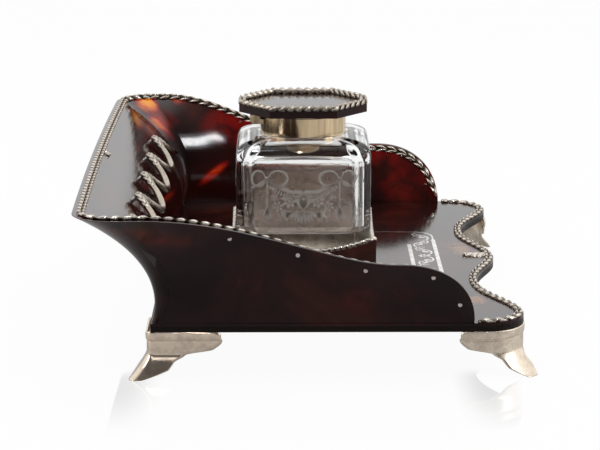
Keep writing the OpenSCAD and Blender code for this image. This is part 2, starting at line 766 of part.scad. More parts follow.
// Collar: a band round the neck with a lip over its top
module collar() {
    outer = collar_d / 2;
    inner = neck_d / 2 + seat_gap;
    color([0.86, 0.82, 0.74]) placed() rotate_extrude() polygon([
        [inner, neck_z + seat_gap], [outer, neck_z + seat_gap], [outer, collar_z],
        [neck_bore / 2, collar_z], [neck_bore / 2, collar_z - collar_lip], [inner, collar_z - collar_lip]
    ]);
}

// Hinge: two knuckles on the collar, one on the lid, and a pin through all three
outer_knuckle_l = 3.4;
knuckle_gap = 0.15;
hinge_l = knuckle_l + 2 * (knuckle_gap + outer_knuckle_l);
module barrel(d, l) {
    translate([hinge_x, 0, hinge_z]) rotate([90, 0, 0]) cylinder(d = d, h = l, center = true);
}
module collar_hinge() {
    color([0.8, 0.77, 0.72]) placed() difference() {
        union() {
            barrel(knuckle_d, hinge_l);
            translate([hinge_x, -hinge_l / 2, hinge_z - knuckle_d / 2])
                cube([-hinge_x, hinge_l, knuckle_d / 2]);
        }
        translate([hinge_x - knuckle_d, -knuckle_l / 2 - knuckle_gap, hinge_z - knuckle_d])
            cube([2 * knuckle_d - lift_gap, knuckle_l + 2 * knuckle_gap, 2 * knuckle_d]);
        barrel(pin_d + 2 * seat_gap, 2 * hinge_l);
        translate([0, 0, neck_z - collar_h]) cylinder(d = collar_d + 2 * seat_gap, h = 3 * collar_h);
    }
}
module hinge_pin() { color([0.75, 0.72, 0.68]) placed() barrel(pin_d, hinge_l); }
module lid_hinge() {
    color([0.8, 0.77, 0.72]) placed() difference() {
        union() {
            barrel(knuckle_d, knuckle_l);
            translate([hinge_x - knuckle_d / 2, -knuckle_l / 2, hinge_z])
                cube([knuckle_d, knuckle_l, plate_z - hinge_z]);
        }
        barrel(pin_d + 2 * run_gap, 2 * hinge_l);
    }
}

// Lid: shell plate, rope edge, silver mount and liner
lid_edge = 0.3;
lid_rope_h = 1.4;
module lid_plate() {
    color([0.16, 0.05, 0.03]) placed()
        translate([0, 0, plate_z]) linear_extrude(lid_t)
            polygon(cut_corners(lid_w, lid_d, lid_cut, lid_end_cut));
}
module lid_border() {
    inset = lid_rope - 2 * lid_edge;
    path = cut_corners(lid_w - inset, lid_d - inset, lid_cut, lid_end_cut);
    n = len(path);
    outwards = [
        for (i = [0:n - 1])
            let (d = path[(i + 1) % n] - path[(i + n - 1) % n]) unit([d[1], -d[0], 0])
    ];
    ups = [for (p = path) [0, 0, 1]];
    color([0.82, 0.79, 0.74]) placed()
        strip(ring_at(path, plate_top), outwards, ups, lid_rope, lid_rope_h, 0, true);
}
module lid_cap() {
    color([0.86, 0.82, 0.74]) placed() translate([0, 0, cap_z]) cylinder(d = collar_d, h = cap_t);
}
liner_play = 0.5;
module lid_liner() {
    color([0.8, 0.7, 0.45]) placed()
        translate([0, 0, cap_z - liner_h]) cylinder(d = neck_bore - 2 * liner_play, h = liner_h);
}

// The whole stand is moved so that the middle of its box is the origin
box_back = base_back - wall_inset + back_flare + back_bow;
box_front = max([for (h = foot_levels()) for (p = foot_ring(front_foot, h)) p[0]]);
x_shift = (box_back - box_front) / 2;

base_board();
base_veneer();
base_inlay();
left_wall();
right_wall();
back_panel();
left_border();
right_border();
back_border();
back_leaf();
front_border();
front_leaf();
wall_rivets();
back_left_foot();
back_right_foot();
front_left_foot();
front_right_foot();
foot_screws();
gallery();
gallery_border();
gallery_pins();
pen_rack();
rack_leaves();
rack_pegs();
bottle_glass();
collar();
collar_hinge();
hinge_pin();
lid_plate();
lid_border();
lid_cap();
lid_liner();
lid_hinge();
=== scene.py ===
"""Looks of the inkstand: tortoiseshell walls and lid, silver borders, feet and pen rack, etched glass bottle.

Sizes are in millimetres in the plan of the bottle, and become metres in the shared frame when a mesh is made.
"""
import math
from collections import namedtuple

import bmesh
import bpy
import numpy as np
from mathutils import Matrix, Vector


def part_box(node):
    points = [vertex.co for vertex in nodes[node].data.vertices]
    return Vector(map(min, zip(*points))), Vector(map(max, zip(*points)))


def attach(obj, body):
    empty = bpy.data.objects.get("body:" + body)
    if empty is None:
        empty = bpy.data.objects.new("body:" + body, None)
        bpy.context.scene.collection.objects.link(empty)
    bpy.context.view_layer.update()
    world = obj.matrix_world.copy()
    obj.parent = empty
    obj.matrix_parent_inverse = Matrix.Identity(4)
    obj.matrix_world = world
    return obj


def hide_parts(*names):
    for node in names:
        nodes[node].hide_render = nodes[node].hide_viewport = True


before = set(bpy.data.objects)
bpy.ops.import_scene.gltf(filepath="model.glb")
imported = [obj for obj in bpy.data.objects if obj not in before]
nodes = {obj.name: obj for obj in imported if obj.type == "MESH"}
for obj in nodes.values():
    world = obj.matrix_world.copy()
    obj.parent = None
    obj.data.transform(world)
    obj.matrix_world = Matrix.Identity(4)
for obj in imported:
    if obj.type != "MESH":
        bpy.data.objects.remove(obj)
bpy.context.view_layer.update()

MM = 0.001

# Driving sizes, the same as the part's
HALF_W = 98.0
BASE_BACK = 55.0
CORNER_X = 79.0
CORNER_R = 15.0
BULGE_X = 75.5
HOLLOW_X = 66.0
HOLLOW_Y = 38.5
WALL_T = 2.2
BACK_H = 43.0
SIDE_H = 24.0
WALL_FRONT = 60.0
BACK_FLARE = 26.6
COVE_TUCK = 16.0
SIDE_LEAN = 0.21
BACK_LEAN = 0.58
FRONT_LEAN = 0.46
BACK_BOW = 1.2
RIM_CORNER_R = 14.0
BORDER_W = 2.7
BORDER_T = 1.5
FOOT_T = 1.4
WING_L = 25.5
TOE_REACH = 8.7
WIRE_D = 2.2
PEAK_PITCH = 37.0
PEAK_COUNT = 5
PEAK_X = -62.49
PEAK_H = 33.0
WAVE_X = 8.0
WAVE_H = 9.5
BOTTLE_W = 52.0
BOTTLE_CUT = 5.0
FACE_H = 43.0
SHOULDER_H = 7.5
GLASS_BOTTOM = 14.0
GLASS_SIDE = 4.0
NECK_D = 30.5
NECK_BORE = 23.0
LID_W = 49.6
LID_D = 42.0
LID_CUT = 12.0
LID_END_CUT = 15.0
LID_ROPE = 2.8
LID_ROPE_H = 2.4
LID_OVER = 0.3

# Levels and the plan's shift, read from the frame
BASE_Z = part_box("base_veneer")[1][2] / MM
FOOT_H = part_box("base_board")[0][2] / MM
X_SHIFT = (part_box("bottle_glass")[0][0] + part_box("bottle_glass")[1][0]) / 2 / MM
GLASS_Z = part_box("bottle_glass")[0][2] / MM
NECK_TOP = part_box("bottle_glass")[1][2] / MM
PLATE_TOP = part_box("lid_plate")[1][2] / MM
GALLERY_W = (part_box("gallery")[1][0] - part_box("gallery")[0][0]) / MM
GALLERY_H = (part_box("gallery")[1][2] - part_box("gallery")[0][2]) / MM
GALLERY_T = 1.3
GALLERY_DIP = 8.6


# Plain helpers
def mix(a, b, t):
    return a + (b - a) * t


def ease(t):
    return (1 - math.cos(math.pi * min(1.0, max(0.0, t)))) / 2


def unit(v):
    v = np.asarray(v, float)
    return v / np.linalg.norm(v)


def smooth_mesh(name, points, faces, smooth=True, relief=()):
    """A mesh object from points in millimetres in the bottle's plan, with all its faces turned outwards.

    Where a carving's height is given, it is kept on the mesh for the darkening of its hollows, which is
    painted shade together with tarnish.
    """
    mesh = bpy.data.meshes.new(name)
    shifted = (np.asarray(points, float) + [X_SHIFT, 0.0, 0.0]) * MM
    mesh.from_pydata([tuple(p) for p in shifted], [], [tuple(int(i) for i in f) for f in faces])
    mesh.validate()
    shape = bmesh.new()
    shape.from_mesh(mesh)
    bmesh.ops.remove_doubles(shape, verts=shape.verts, dist=1e-7)
    bmesh.ops.recalc_face_normals(shape, faces=shape.faces)
    shape.to_mesh(mesh)
    shape.free()
    mesh.polygons.foreach_set("use_smooth", [smooth] * len(mesh.polygons))
    if relief:
        layer = mesh.attributes.new("relief", "FLOAT", "POINT")
        layer.data.foreach_set("value", relief[:len(layer.data)])
    piece = bpy.data.objects.new(name, mesh)
    bpy.context.scene.collection.objects.link(piece)
    return piece


def smooth_by_angle(piece, degrees):
    """Keeps the edges of a smooth piece sharp above an angle."""
    piece.data.set_sharp_from_angle(angle=math.radians(degrees))


def grid_faces(rows, count, wrap_rows=False, wrap_count=True, start=0):
    """Quads between rows of points."""
    faces = []
    for i in range(rows if wrap_rows else rows - 1):
        for j in range(count if wrap_count else count - 1):
            a = start + i * count
            b = start + ((i + 1) % rows) * count
            k = (j + 1) % count
            faces.append((a + j, a + k, b + k, b + j))
    return faces


def loft(name, rings, closed=False, relief=()):
    """A solid through rings with the same number of points."""
    rows, count = len(rings), len(rings[0])
    points = [p for ring in rings for p in ring]
    faces = grid_faces(rows, count, wrap_rows=closed)
    if not closed:
        faces.append(tuple(range(count - 1, -1, -1)))
        faces.append(tuple((rows - 1) * count + j for j in range(count)))
    return smooth_mesh(name, points, faces, relief=relief)


def join(name, parts):
    """One object from several, with their materials."""
    for p in bpy.context.selected_objects:
        p.select_set(False)
    for p in parts:
        p.select_set(True)
    bpy.context.view_layer.objects.active = parts[0]
    bpy.ops.object.join()
    parts[0].name = name
    parts[0].data.name = name
    return parts[0]


def bevel(piece, width):
    """Softens the sharp edges of a piece."""
    modifier = piece.modifiers.new("edge", "BEVEL")
    modifier.width = width * MM
    modifier.segments = 2
    modifier.limit_method = "ANGLE"
    modifier.angle_limit = math.radians(35)
    modifier.harden_normals = True


def mirrored(name, piece):
    """A copy of a piece on the other side of the middle plane."""
    copy = piece.copy()
    copy.data = piece.data.copy()
    copy.name = name
    copy.data.name = name
    bpy.context.scene.collection.objects.link(copy)
    copy.data.transform(Matrix.Scale(-1, 4, Vector((0, 1, 0))))
    copy.data.flip_normals()
    return copy


def finish_piece(piece, material, body, slot, *replaced):
    """Gives a piece its material, its body and the nodes that it stands for; its slot is not used."""
    piece.data.materials.clear()
    piece.data.materials.append(material)
    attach(piece, body)
    if replaced:
        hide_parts(*replaced)
    return piece


# Shape of the walls
WALL_INSET = 0.3
RIM_FLAT_X = -58.0
LEAN_BACK_X = -63.0
LEAN_MID_X = 0.0
END_ROUND = 27.0
END_POWER = 2.2
RIM_POWER = 0.92
CURL_SIDE = 1.4
CURL_BACK = 2.3
COVE_CURL = 1.85
LOW_CORNER_R = 3.0
# A small cut at the low back end of a side wall, and the wall's gap to the back panel
CUT_CORNER = 0.05
JOINT_GAP = 0.06
LEAN_THICKER = 1.35
WALL_END = 0.985


def rim_h(x):
    """Height of the side rim above the base."""
    if x <= RIM_FLAT_X:
        return BACK_H
    start = WALL_FRONT - END_ROUND
    if x < start:
        return mix(BACK_H, SIDE_H, ease(((x - RIM_FLAT_X) / (start - RIM_FLAT_X)) ** RIM_POWER))
    return SIDE_H * max(0.0, 1 - ((x - start) / END_ROUND) ** END_POWER) ** (1 / END_POWER)


def back_part(x):
    return ease((LEAN_MID_X - x) / (LEAN_MID_X - LEAN_BACK_X))


def side_y(x, s):
    """Half width of the stand's outside at the share s of the rim's height."""
    front = ease((x - LEAN_MID_X) / (WALL_FRONT - END_ROUND - LEAN_MID_X))
    lean = SIDE_LEAN + (BACK_LEAN - SIDE_LEAN) * back_part(x) + (FRONT_LEAN - SIDE_LEAN) * front
    return HALF_W - WALL_INSET + lean * rim_h(x) * s ** mix(CURL_SIDE, CURL_BACK, back_part(x))


def cove_x(s):
    return -(BASE_BACK - WALL_INSET - COVE_TUCK * s + (BACK_FLARE + COVE_TUCK) * s ** COVE_CURL)


def back_r(s):
    return mix(LOW_CORNER_R, RIM_CORNER_R, s)


WALL_BACK = cove_x(1) + back_r(1)


def wall_point(u, s, t=0.0):
    """A point of the left wall at the shares u of its length and s of its height, t inside its outside."""
    x = mix(WALL_BACK, WALL_FRONT, math.sin(math.pi / 2 * u))
    d = max(0.0, 1 - (x - WALL_BACK) / CUT_CORNER)
    v = mix(CUT_CORNER * (1 - math.sqrt(1 - d * d)) / rim_h(x), 1, s)
    slide = (cove_x(v) + back_r(v) - WALL_BACK) * (1 - ease((x - WALL_BACK) / END_ROUND / 2))
    thick = t * mix(1, LEAN_THICKER, back_part(x) * v)
    return np.array([x + slide + JOINT_GAP, side_y(x, v) - thick, BASE_Z + rim_h(x) * v])


def panel_ring(s, share):
    """The back panel's points at one level, at a share of its thickness, from the left end to the right."""
    arc_steps, middle_steps = 12, 24
    t = WALL_T * mix(1, LEAN_THICKER, s) * share
    r = back_r(s)
    xc, yc = cove_x(s) + r, side_y(LEAN_BACK_X, s) - r
    z = BASE_Z + BACK_H * s
    corner = []
    for i in range(arc_steps + 1):
        a = math.pi / 2 * (1 + i / arc_steps)
        corner.append((xc + (r - t) * math.cos(a), yc + (r - t) * math.sin(a), z))
    middle = []
    for i in range(1, middle_steps):
        k = 1 - 2 * i / middle_steps
        middle.append((xc - r + t - BACK_BOW * s * (1 - k * k), yc * k, z))
    return [np.array(p) for p in corner + middle + [(x, -y, z) for x, y, z in reversed(corner)]]


# How the thickness of a wall is rounded at its rim: the share of the thickness and the drop below the rim
RIM_ROUND = [(0.0, 0.55), (0.08, 0.25), (0.25, 0.06), (0.5, 0.0), (0.75, 0.06), (0.92, 0.25), (1.0, 0.55)]


def rounded_sheet(name, outer, inner, rim_drop):
    """A thin wall from two grids of points, row by row along its length, with a rounded rim.

    Each row runs from the base up its outer face, over the rim and down its inner face.
    """
    rings = []
    for row_out, row_in, drops in zip(outer, inner, rim_drop):
        top_out, top_in = row_out[-1], row_in[-1]
        over = [mix(top_out, top_in, share) - drop * drops for share, drop in RIM_ROUND]
        rings.append(list(row_out[:-1]) + over + list(reversed(row_in[:-1])))
    return loft(name, rings)


def make_wall():
    """The left side wall, smooth and with a rounded rim."""
    steps, rises = 120, 28
    us = [WALL_END * i / steps for i in range(steps + 1)]
    shares = [j / rises for j in range(rises + 1)]
    outer = [[wall_point(u, s) for s in shares] for u in us]
    inner = [[wall_point(u, s, WALL_T) for s in shares] for u in us]
    drops = [unit(row[-1] - row[-2]) * min(1.0, (row[-1][2] - row[0][2]) / 3) for row in outer]
    return rounded_sheet("left_wall_shell", outer, inner, drops)


def make_back():
    """The coved back panel, smooth and with a rounded rim."""
    rises = 36
    shares = [j / rises for j in range(rises + 1)]
    outer = list(zip(*[panel_ring(s, 0) for s in shares]))
    inner = list(zip(*[panel_ring(s, 1) for s in shares]))
    drops = [unit(row[-1] - row[-2]) for row in outer]
    return rounded_sheet("back_panel_shell", outer, inner, drops)


# Leafy borders, swept along a path with a carved section: shape of the leaves, then pitch and slant of each
LEAF_FULL = 0.85
LEAF_LEAN = 1.5
MIDRIB = 0.26
VEIN_DEPTH = 0.7
DOME = 0.72
GROUND = 0.1
LEAF_CARVING = (4.6, 1.9)
FRONT_CARVING = (4.6, 2.4)
LID_CARVING = (3.3, 2.8)
BACK_CARVING = (4.6, 1.2)
CARVE_STEP = 0.24
CARVE_ACROSS = 14
END_TAPER = 0.4
UNDERSIDE = 0.98


def carved_height(along, across, pitch, slant):
    """Height and openness of the carving, 0 to 1, at a distance along it and a share across it, -1 to 1."""
    u = (along + slant * abs(across)) / pitch % 1.0
    leaf = math.sin(math.pi * u ** LEAF_LEAN) ** LEAF_FULL
    vein = 1 - math.exp(-((across / MIDRIB) ** 2))
    dome = math.sqrt(max(0.0, 1 - DOME * across * across))
    cut = leaf * (1 - VEIN_DEPTH + VEIN_DEPTH * vein)
    return dome * (GROUND + (1 - GROUND) * cut), cut


def path_frames(points, normals, step, closed):
    """The length of a line, and at even steps along it the distance, the point, its normal and the side."""
    points, normals = np.asarray(points, float), np.asarray(normals, float)
    at = np.concatenate([[0], np.cumsum(np.linalg.norm(np.diff(points, axis=0), axis=1))])
    where = np.linspace(0, at[-1], max(2, int(round(at[-1] / step))) + 1)
    even = np.stack([np.interp(where, at, points[:, i]) for i in range(3)], 1)
    even_n = np.stack([np.interp(where, at, normals[:, i]) for i in range(3)], 1)
    count = len(even) - 1 if closed else len(even)
    frames = []
    for i in range(count):
        before = even[(i - 1) % count] if closed else even[max(0, i - 1)]
        after = even[(i + 1) % count] if closed else even[min(count - 1, i + 1)]
        along = unit(after - before)
        normal = unit(even_n[i] - along * np.dot(along, even_n[i]))
        frames.append((where[i], even[i], normal, np.cross(along, normal)))
    return at[-1], frames


def carved_strip(name, points, normals, width, thick, carving, closed=False):
    """A carved silver strip that lies on a surface with the given normals, centred on the path."""
    total, frames = path_frames(points, normals, CARVE_STEP, closed)
    pitch, slant = carving
    pitch = total / round(total / pitch)
    rings, relief = [], []
    for at, point, normal, side in frames:
        end = min(at, total - at)
        taper = 1.0 if closed else min(1.0, 0.25 + 0.75 * math.sqrt(max(0.0, end / END_TAPER)))
        half = side * width / 2 * taper
        ring, openness = [], []
        for j in range(CARVE_ACROSS + 1):
            across = -math.cos(math.pi * j / CARVE_ACROSS)
            h, cut = carved_height(at, across, pitch, slant)
            ring.append(point + half * across + normal * thick * h * taper)
            openness.append(cut)
        rings.append(ring + [point + half * UNDERSIDE, point - half * UNDERSIDE])
        relief += openness + [openness[-1], openness[0]]
    return loft(name, rings, closed, relief)


# Where the borders run
BORDER_SET = 1.1
FRONT_SET = -1.0
SET_FADE = 0.6
BORDER_START = 0.004
BORDER_JOIN = 1.0
BORDER_EDGE = 0.4
BACK_BORDER_W = BORDER_W * 1.1
SURFACE_GAP = 0.04
SWEEP_POWER = 1.2


def side_border_path():
    """Middle line and normals of the border inside the left wall's rim, from back to front."""
    points, normals = [], []
    steps, tiny = 140, 0.004
    for i in range(steps + 1):
        u = mix(BORDER_START, WALL_END, i / steps)
        here = wall_point(u, 1, WALL_T)
        ahead = wall_point(min(WALL_END, u + tiny), 1, WALL_T)
        along = unit(ahead - wall_point(max(0, u - tiny), 1, WALL_T))
        rise = here - wall_point(u, 1 - 8 * tiny, WALL_T)
        inward = -unit(np.cross(rise, along))
        up = np.cross(inward, along)
        up = up if np.dot(up, rise) > 0 else -up
        over_rim = mix(BORDER_SET, FRONT_SET, ease(u / SET_FADE))
        points.append(here - (BORDER_W / 2 - over_rim) * up + SURFACE_GAP * inward)
        normals.append(inward)
    return points, normals


def back_border_path():
    """Middle line and normals of the border inside the back rim, from left to right."""
    top, below = panel_ring(1, 1), panel_ring(0.92, 1)
    points, normals = [], []
    last = len(top) - 1
    for i in range(last + 1):
        along = unit(top[min(last, i + 1)] - top[max(0, i - 1)])
        rise = top[i] - below[i]
        inward = unit(np.cross(rise, along))
        up = np.cross(along, inward)
        points.append(top[i] - (BACK_BORDER_W / 2 - BORDER_SET) * up + SURFACE_GAP * inward)
        normals.append(inward)
    points[0] = points[0] + BORDER_JOIN * unit(points[0] - points[1])
    points[-1] = points[-1] + BORDER_JOIN * unit(points[-1] - points[-2])
    return points, normals


def serpentine_x(y):
    """Front edge of the base at a distance y from the middle line."""
    y = abs(y)
    if y < HOLLOW_Y:
        return mix(BULGE_X, HOLLOW_X, ease(y / HOLLOW_Y))
    return mix(HOLLOW_X, CORNER_X, ease(((y - HOLLOW_Y) / (HALF_W - CORNER_R - HOLLOW_Y)) ** SWEEP_POWER))


def front_border_path():
    """Middle line and normals of the border round the front, from the left wall to the right."""
    inset = BORDER_W / 2 + BORDER_EDGE
    corner_y = HALF_W - CORNER_R
    points = []
    steps, tiny = 90, 0.01
    for i in range(steps):
        y = corner_y * i / steps
        slope = (serpentine_x(y + tiny) - serpentine_x(y - tiny)) / (2 * tiny)
        n = unit([1, -slope])
        points.append(np.array([serpentine_x(y), y]) - inset * n)
    for i in range(25):
        a = math.pi / 2 * i / 24
        r = CORNER_R - inset
        points.append(np.array([CORNER_X - CORNER_R + r * math.cos(a), corner_y + r * math.sin(a)]))
    points.append(np.array([WALL_FRONT + BORDER_W / 2, HALF_W - inset]))
    points = [(x, y, BASE_Z) for x, y in points]
    line = points[::-1] + [(x, -y, z) for x, y, z in points[1:]]
    return line, [(0, 0, 1)] * len(line)


# Single leaves: outline, lobes, veins, and the rise of each part as a share of the leaf's height
LEAF_STEM = 0.12
LEAF_SKEW = 0.85
LEAF_BROAD = 0.75
LOBES = 4
LOBE_CUT = 0.22
RIB_THIN = 5
LOBE_SLANT = 0.7
BODY_RISE = 0.45
VEIN_RISE = 0.35
RIB_RISE = 0.35
TIP_RISE = 0.25
LEAF_EDGE = 0.02
# How dark the hollows of leaves and ropes are drawn: painted shade together with tarnish.
HOLLOW_SHADE_AND_TARNISH = 0.35


def carved_leaf(name, origin, forward, normal, length, width, height):
    """An acanthus leaf with lobed edges and a midrib, laid on a surface from its stem forward to its tip."""
    rows, cols = 40, 20
    points, relief = [], []
    for i in range(rows + 1):
        k = i / rows
        half = width / 2 * math.sin(math.pi * mix(LEAF_STEM, 1, k) ** LEAF_SKEW) ** LEAF_BROAD
        half *= 1 - LOBE_CUT * abs(math.sin(math.pi * LOBES * k))
        for j in range(cols + 1):
            v = -1 + 2 * j / cols
            rib = math.exp(-((v * RIB_THIN) ** 2))
            vein = abs(math.sin(math.pi * (LOBES * k - LOBE_SLANT * abs(v)))) ** 0.7
            crown = math.sqrt(max(0.0, 1 - v * v))
            lift = crown * (BODY_RISE + VEIN_RISE * vein) + RIB_RISE * rib * (1 - k) + TIP_RISE * k * k
            points.append((length * k, half * v + 1e-4 * v, height * lift + LEAF_EDGE))
            relief.append(mix(HOLLOW_SHADE_AND_TARNISH, 1, max(vein, rib)))
    top = len(points)
    points += [(p[0], p[1], 0.0) for p in points[:top]]
    relief += relief[:top]
    count = cols + 1
    faces = grid_faces(rows + 1, count, wrap_count=False)
    faces += [tuple(reversed([i + top for i in f])) for f in faces[:]]
    border = (
        list(range(count))
        + [i * count + cols for i in range(1, rows + 1)]
        + [rows * count + j for j in range(cols - 1, -1, -1)]
        + [i * count for i in range(rows - 1, 0, -1)]
    )
    for a, b in zip(border, border[1:] + border[:1]):
        faces.append((a, b, b + top, a + top))
    forward, normal = unit(forward), unit(normal)
    side = np.cross(normal, forward)
    laid = [np.asarray(origin) + p[0] * forward + p[1] * side + p[2] * normal for p in points]
    return smooth_mesh(name, laid, faces, relief=relief)


# Feet
FOOT_EDGE_R = 2.5
END_WING_L = 20.0
FRONT_WING_L = 20.0
TOE_L = 10.6
FRONT_TOE_L = 6.5
TOE_START = 0.53
TOE_ROUND = 0.24
TOE_TIP = 0.2
FLARE_POWER = 1.45
TOE_POWER = 0.6
BACK_FLARE_X = 0.73
BACK_FLARE_Y = 0.45
FRONT_FLARE_X = 0.83
FRONT_FLARE_Y = 0.37
MOULDING_H = 0.84
MOULDING_OUT = 0.3
MOULDING_STEP = 0.02
BEAD = 0.06
GROOVE = 0.08
GROOVE_BELOW = 0.035
GROOVE_H = 0.015
EDGE_SOFT = 0.3
BACK_PROUD = 1.5
PLATE_T = 1.2
PLATE_SHARE = 0.75
PLATE_GAP = 0.02
# Share of a wing's spread, where it starts and how far up it takes, as shares of the foot's height
WING_SPREAD = ((0.18, 0.34, 0.16), (0.6, 0.49, 0.13), (0.28, 0.52, 0.28), (-0.06, 0.93, 0.08))

# Centre and radius of the corner, side along X, lengths of the wings and the toe, flares along X and Y
Foot = namedtuple("Foot", "x y r side x_wing y_wing toe flare")
BACK_FOOT = Foot(
    BASE_BACK + BACK_PROUD - FOOT_EDGE_R, HALF_W - FOOT_EDGE_R, FOOT_EDGE_R, -1, WING_L, END_WING_L, TOE_L,
    (TOE_REACH * BACK_FLARE_X, TOE_REACH * BACK_FLARE_Y)
)
FRONT_FOOT = Foot(
    CORNER_X - CORNER_R, HALF_W - CORNER_R, CORNER_R, 1, FRONT_WING_L, FRONT_WING_L, FRONT_TOE_L,
    (TOE_REACH * FRONT_FLARE_X, TOE_REACH * FRONT_FLARE_Y)
)


def foot_out(foot, h):
    """Outward offset of a foot at the share h of its height: flared toe, and a beaded moulding on top."""
    toe = max(0.0, 1 - h / TOE_START) ** FLARE_POWER
    above = h - MOULDING_H
    step = MOULDING_OUT * ease(above / MOULDING_STEP + 1)
    bead = BEAD * math.sin(math.pi * min(1.0, max(0.0, above / (1 - MOULDING_H))))
    groove = GROOVE * math.exp(-(((above + GROOVE_BELOW) / GROOVE_H) ** 2))
    return toe * np.array(foot.flare) + step + bead - groove


def wing_at(full, toe, h):
    """Length of a wing at the share h of the foot's height: slow off the toe, fast after, drawn in on top."""
    spread = sum(share * ease((h - start) / rise) for share, start, rise in WING_SPREAD)
    return toe * min(1.0, h / TOE_ROUND + TOE_TIP) ** TOE_POWER + (full - toe) * spread


def foot_point(foot, a, d, t=0.0):
    """A point at the distance a along a bracket from its corner's middle, moved out by d, thinned by t."""
    r = foot.r
    q = r * math.pi / 4
    turn = math.pi / 4 - min(q, max(-q, a)) / r
    along = max(0.0, abs(a) - q)
    x = foot.x + d[0] + (r - t) * math.cos(turn) - (along if a < 0 else 0)
    y = foot.y + d[1] + (r - t) * math.sin(turn) - (along if a > 0 else 0)
    return foot.side * x, y


def make_foot(name, foot):
    """A bracket foot with a moulded top, ogee wings and a flared toe."""
    levels, steps = 64, 40
    rings = []
    for i in range(levels + 1):
        h = i / levels
        start, end = -wing_at(foot.x_wing, foot.toe, h), wing_at(foot.y_wing, foot.toe, h)
        d = foot_out(foot, h)
        outer, inner = [], []
        for k in range(steps + 1):
            a = mix(start, end, k / steps)
            soft = EDGE_SOFT * (1 - min(1.0, min(k, steps - k) / 2))
            outer.append((*foot_point(foot, a, d, soft), FOOT_H * h))
            inner.append((*foot_point(foot, a, d, FOOT_T - soft), FOOT_H * h))
        rings.append(outer + inner[::-1])
    bracket = loft(name + "_bracket", rings)
    reach = [PLATE_SHARE * mix(-foot.x_wing, foot.y_wing, i / 24) for i in range(25)]
    edge = [foot_point(foot, a, (0, 0), FOOT_T / 2) for a in reach]
    plate = loft(name + "_plate", [[(*p, z) for p in edge] for z in (FOOT_H - PLATE_T, FOOT_H - PLATE_GAP)])
    plate.data.polygons.foreach_set("use_smooth", [False] * len(plate.data.polygons))
    return join(name, [bracket, plate])


# Pen rack
RACK_LEAN = unit([-WAVE_X, 0, WAVE_H])
RACK_OUT = np.cross([0, 1, 0], RACK_LEAN)
RACK_END = PEAK_PITCH * PEAK_COUNT / 2
PEAK_ROUND = 0.2
HOLLOW_FULL = 0.8
RACK_CURL = 0.4
WIRE_SWELL = (0.95, 1.36)
WIRE_END_L = 1.2
WIRE_END_R = 0.3
SLEEVE_L = 5.2
SLEEVE_LEAF = 1.7
SLEEVE_FIT = 0.96
SLEEVE_BODY = 0.1
SLEEVE_CARVE = 0.34
SLEEVE_ZIGZAG = 0.35
SLEEVE_POINTS = 3
SLEEVE_FULL = 0.6
# How dark the gaps between the sleeve's leaves are drawn: painted shade together with tarnish.
SLEEVE_SHADE_AND_TARNISH = 0.3


def wave(y):
    """From 0 at a sharp peak to 1 at the middle of a round hollow."""
    rise = math.hypot(math.sin(math.pi * y / PEAK_PITCH), PEAK_ROUND)
    return ((rise - PEAK_ROUND) / (math.hypot(1, PEAK_ROUND) - PEAK_ROUND)) ** HOLLOW_FULL


def rack_point(y):
    c = wave(y)
    return np.array([PEAK_X + WAVE_X * c * (1 + RACK_CURL * (1 - c)), y, BASE_Z + PEAK_H - WAVE_H * c])


def wire_rings(start, end, steps, sides, radius_at):
    """Rings round the waved wire from one distance across the stand to another."""
    rings = []
    for i in range(steps + 1):
        y = mix(start, end, i / steps)
        along = unit(rack_point(y + 0.01) - rack_point(y - 0.01))
        side = np.cross(along, RACK_OUT)
        angles = [2 * math.pi * k / sides for k in range(sides)]
        rings.append([
            rack_point(y) + radius_at(y, a) * (math.cos(a) * RACK_OUT + math.sin(a) * side) for a in angles
        ])
    return rings


def make_rack():
    """The waved wire, thicker at its hollows and rounded at its two ends."""

    def radius_at(y, a):
        end = math.sqrt(max(0.0, (RACK_END - abs(y)) / WIRE_END_L))
        return WIRE_D / 2 * mix(*WIRE_SWELL, wave(y)) * min(1.0, mix(WIRE_END_R, 1, end))

    return loft("pen_rack_wire", wire_rings(-RACK_END, RACK_END, 70 * PEAK_COUNT, 16, radius_at))


def make_rack_bud(index):
    """The foliate sleeve on a peak: overlapping leaves round the wire, largest at the peak."""
    y = (index - (PEAK_COUNT - 1) / 2) * PEAK_PITCH
    relief = []

    def radius_at(at, a):
        k = abs(at - y) / SLEEVE_L
        row = abs(at - y) / SLEEVE_LEAF + SLEEVE_ZIGZAG * math.cos(SLEEVE_POINTS * a)
        leaf = abs(math.sin(math.pi * row)) ** SLEEVE_FULL
        body = math.sqrt(max(0.0, 1 - k * k))
        relief.append(mix(SLEEVE_SHADE_AND_TARNISH, 1, leaf))
        return WIRE_D / 2 * (SLEEVE_FIT + body * (SLEEVE_BODY + SLEEVE_CARVE * leaf))

    rings = wire_rings(y - SLEEVE_L, y + SLEEVE_L, 96, 30, radius_at)
    return loft("rack_bud_%d" % index, rings, relief=relief)


# Ropes: gallery and lid
ROPE_D = 2.0
ROPE_TWIST = 2.2
ROPE_STEP = 0.22
ROPE_HOLLOW = 0.62
STRAND_FULL = 0.7
GALLERY_POWER = 2.2
GALLERY_FLAT = GALLERY_W / 2 - 1.5 * GALLERY_T
LID_LINE_R = 1.5


def gallery_top(y):
    return mix(GALLERY_DIP, GALLERY_H, min(1.0, abs(y) / GALLERY_FLAT) ** GALLERY_POWER)


def gallery_rope_path():
    """One closed line along the dipping top edges of the gallery, with rounded corners."""
    half = (GALLERY_W - GALLERY_T) / 2
    r = GALLERY_T
    points = []
    for a in range(4):
        c, s = math.cos(a * math.pi / 2), math.sin(a * math.pi / 2)
        for i in range(41):
            y = mix(-half + r, half - r, i / 40)
            points.append((half * c - y * s, half * s + y * c, BASE_Z + gallery_top(y)))
    return points + points[:1]


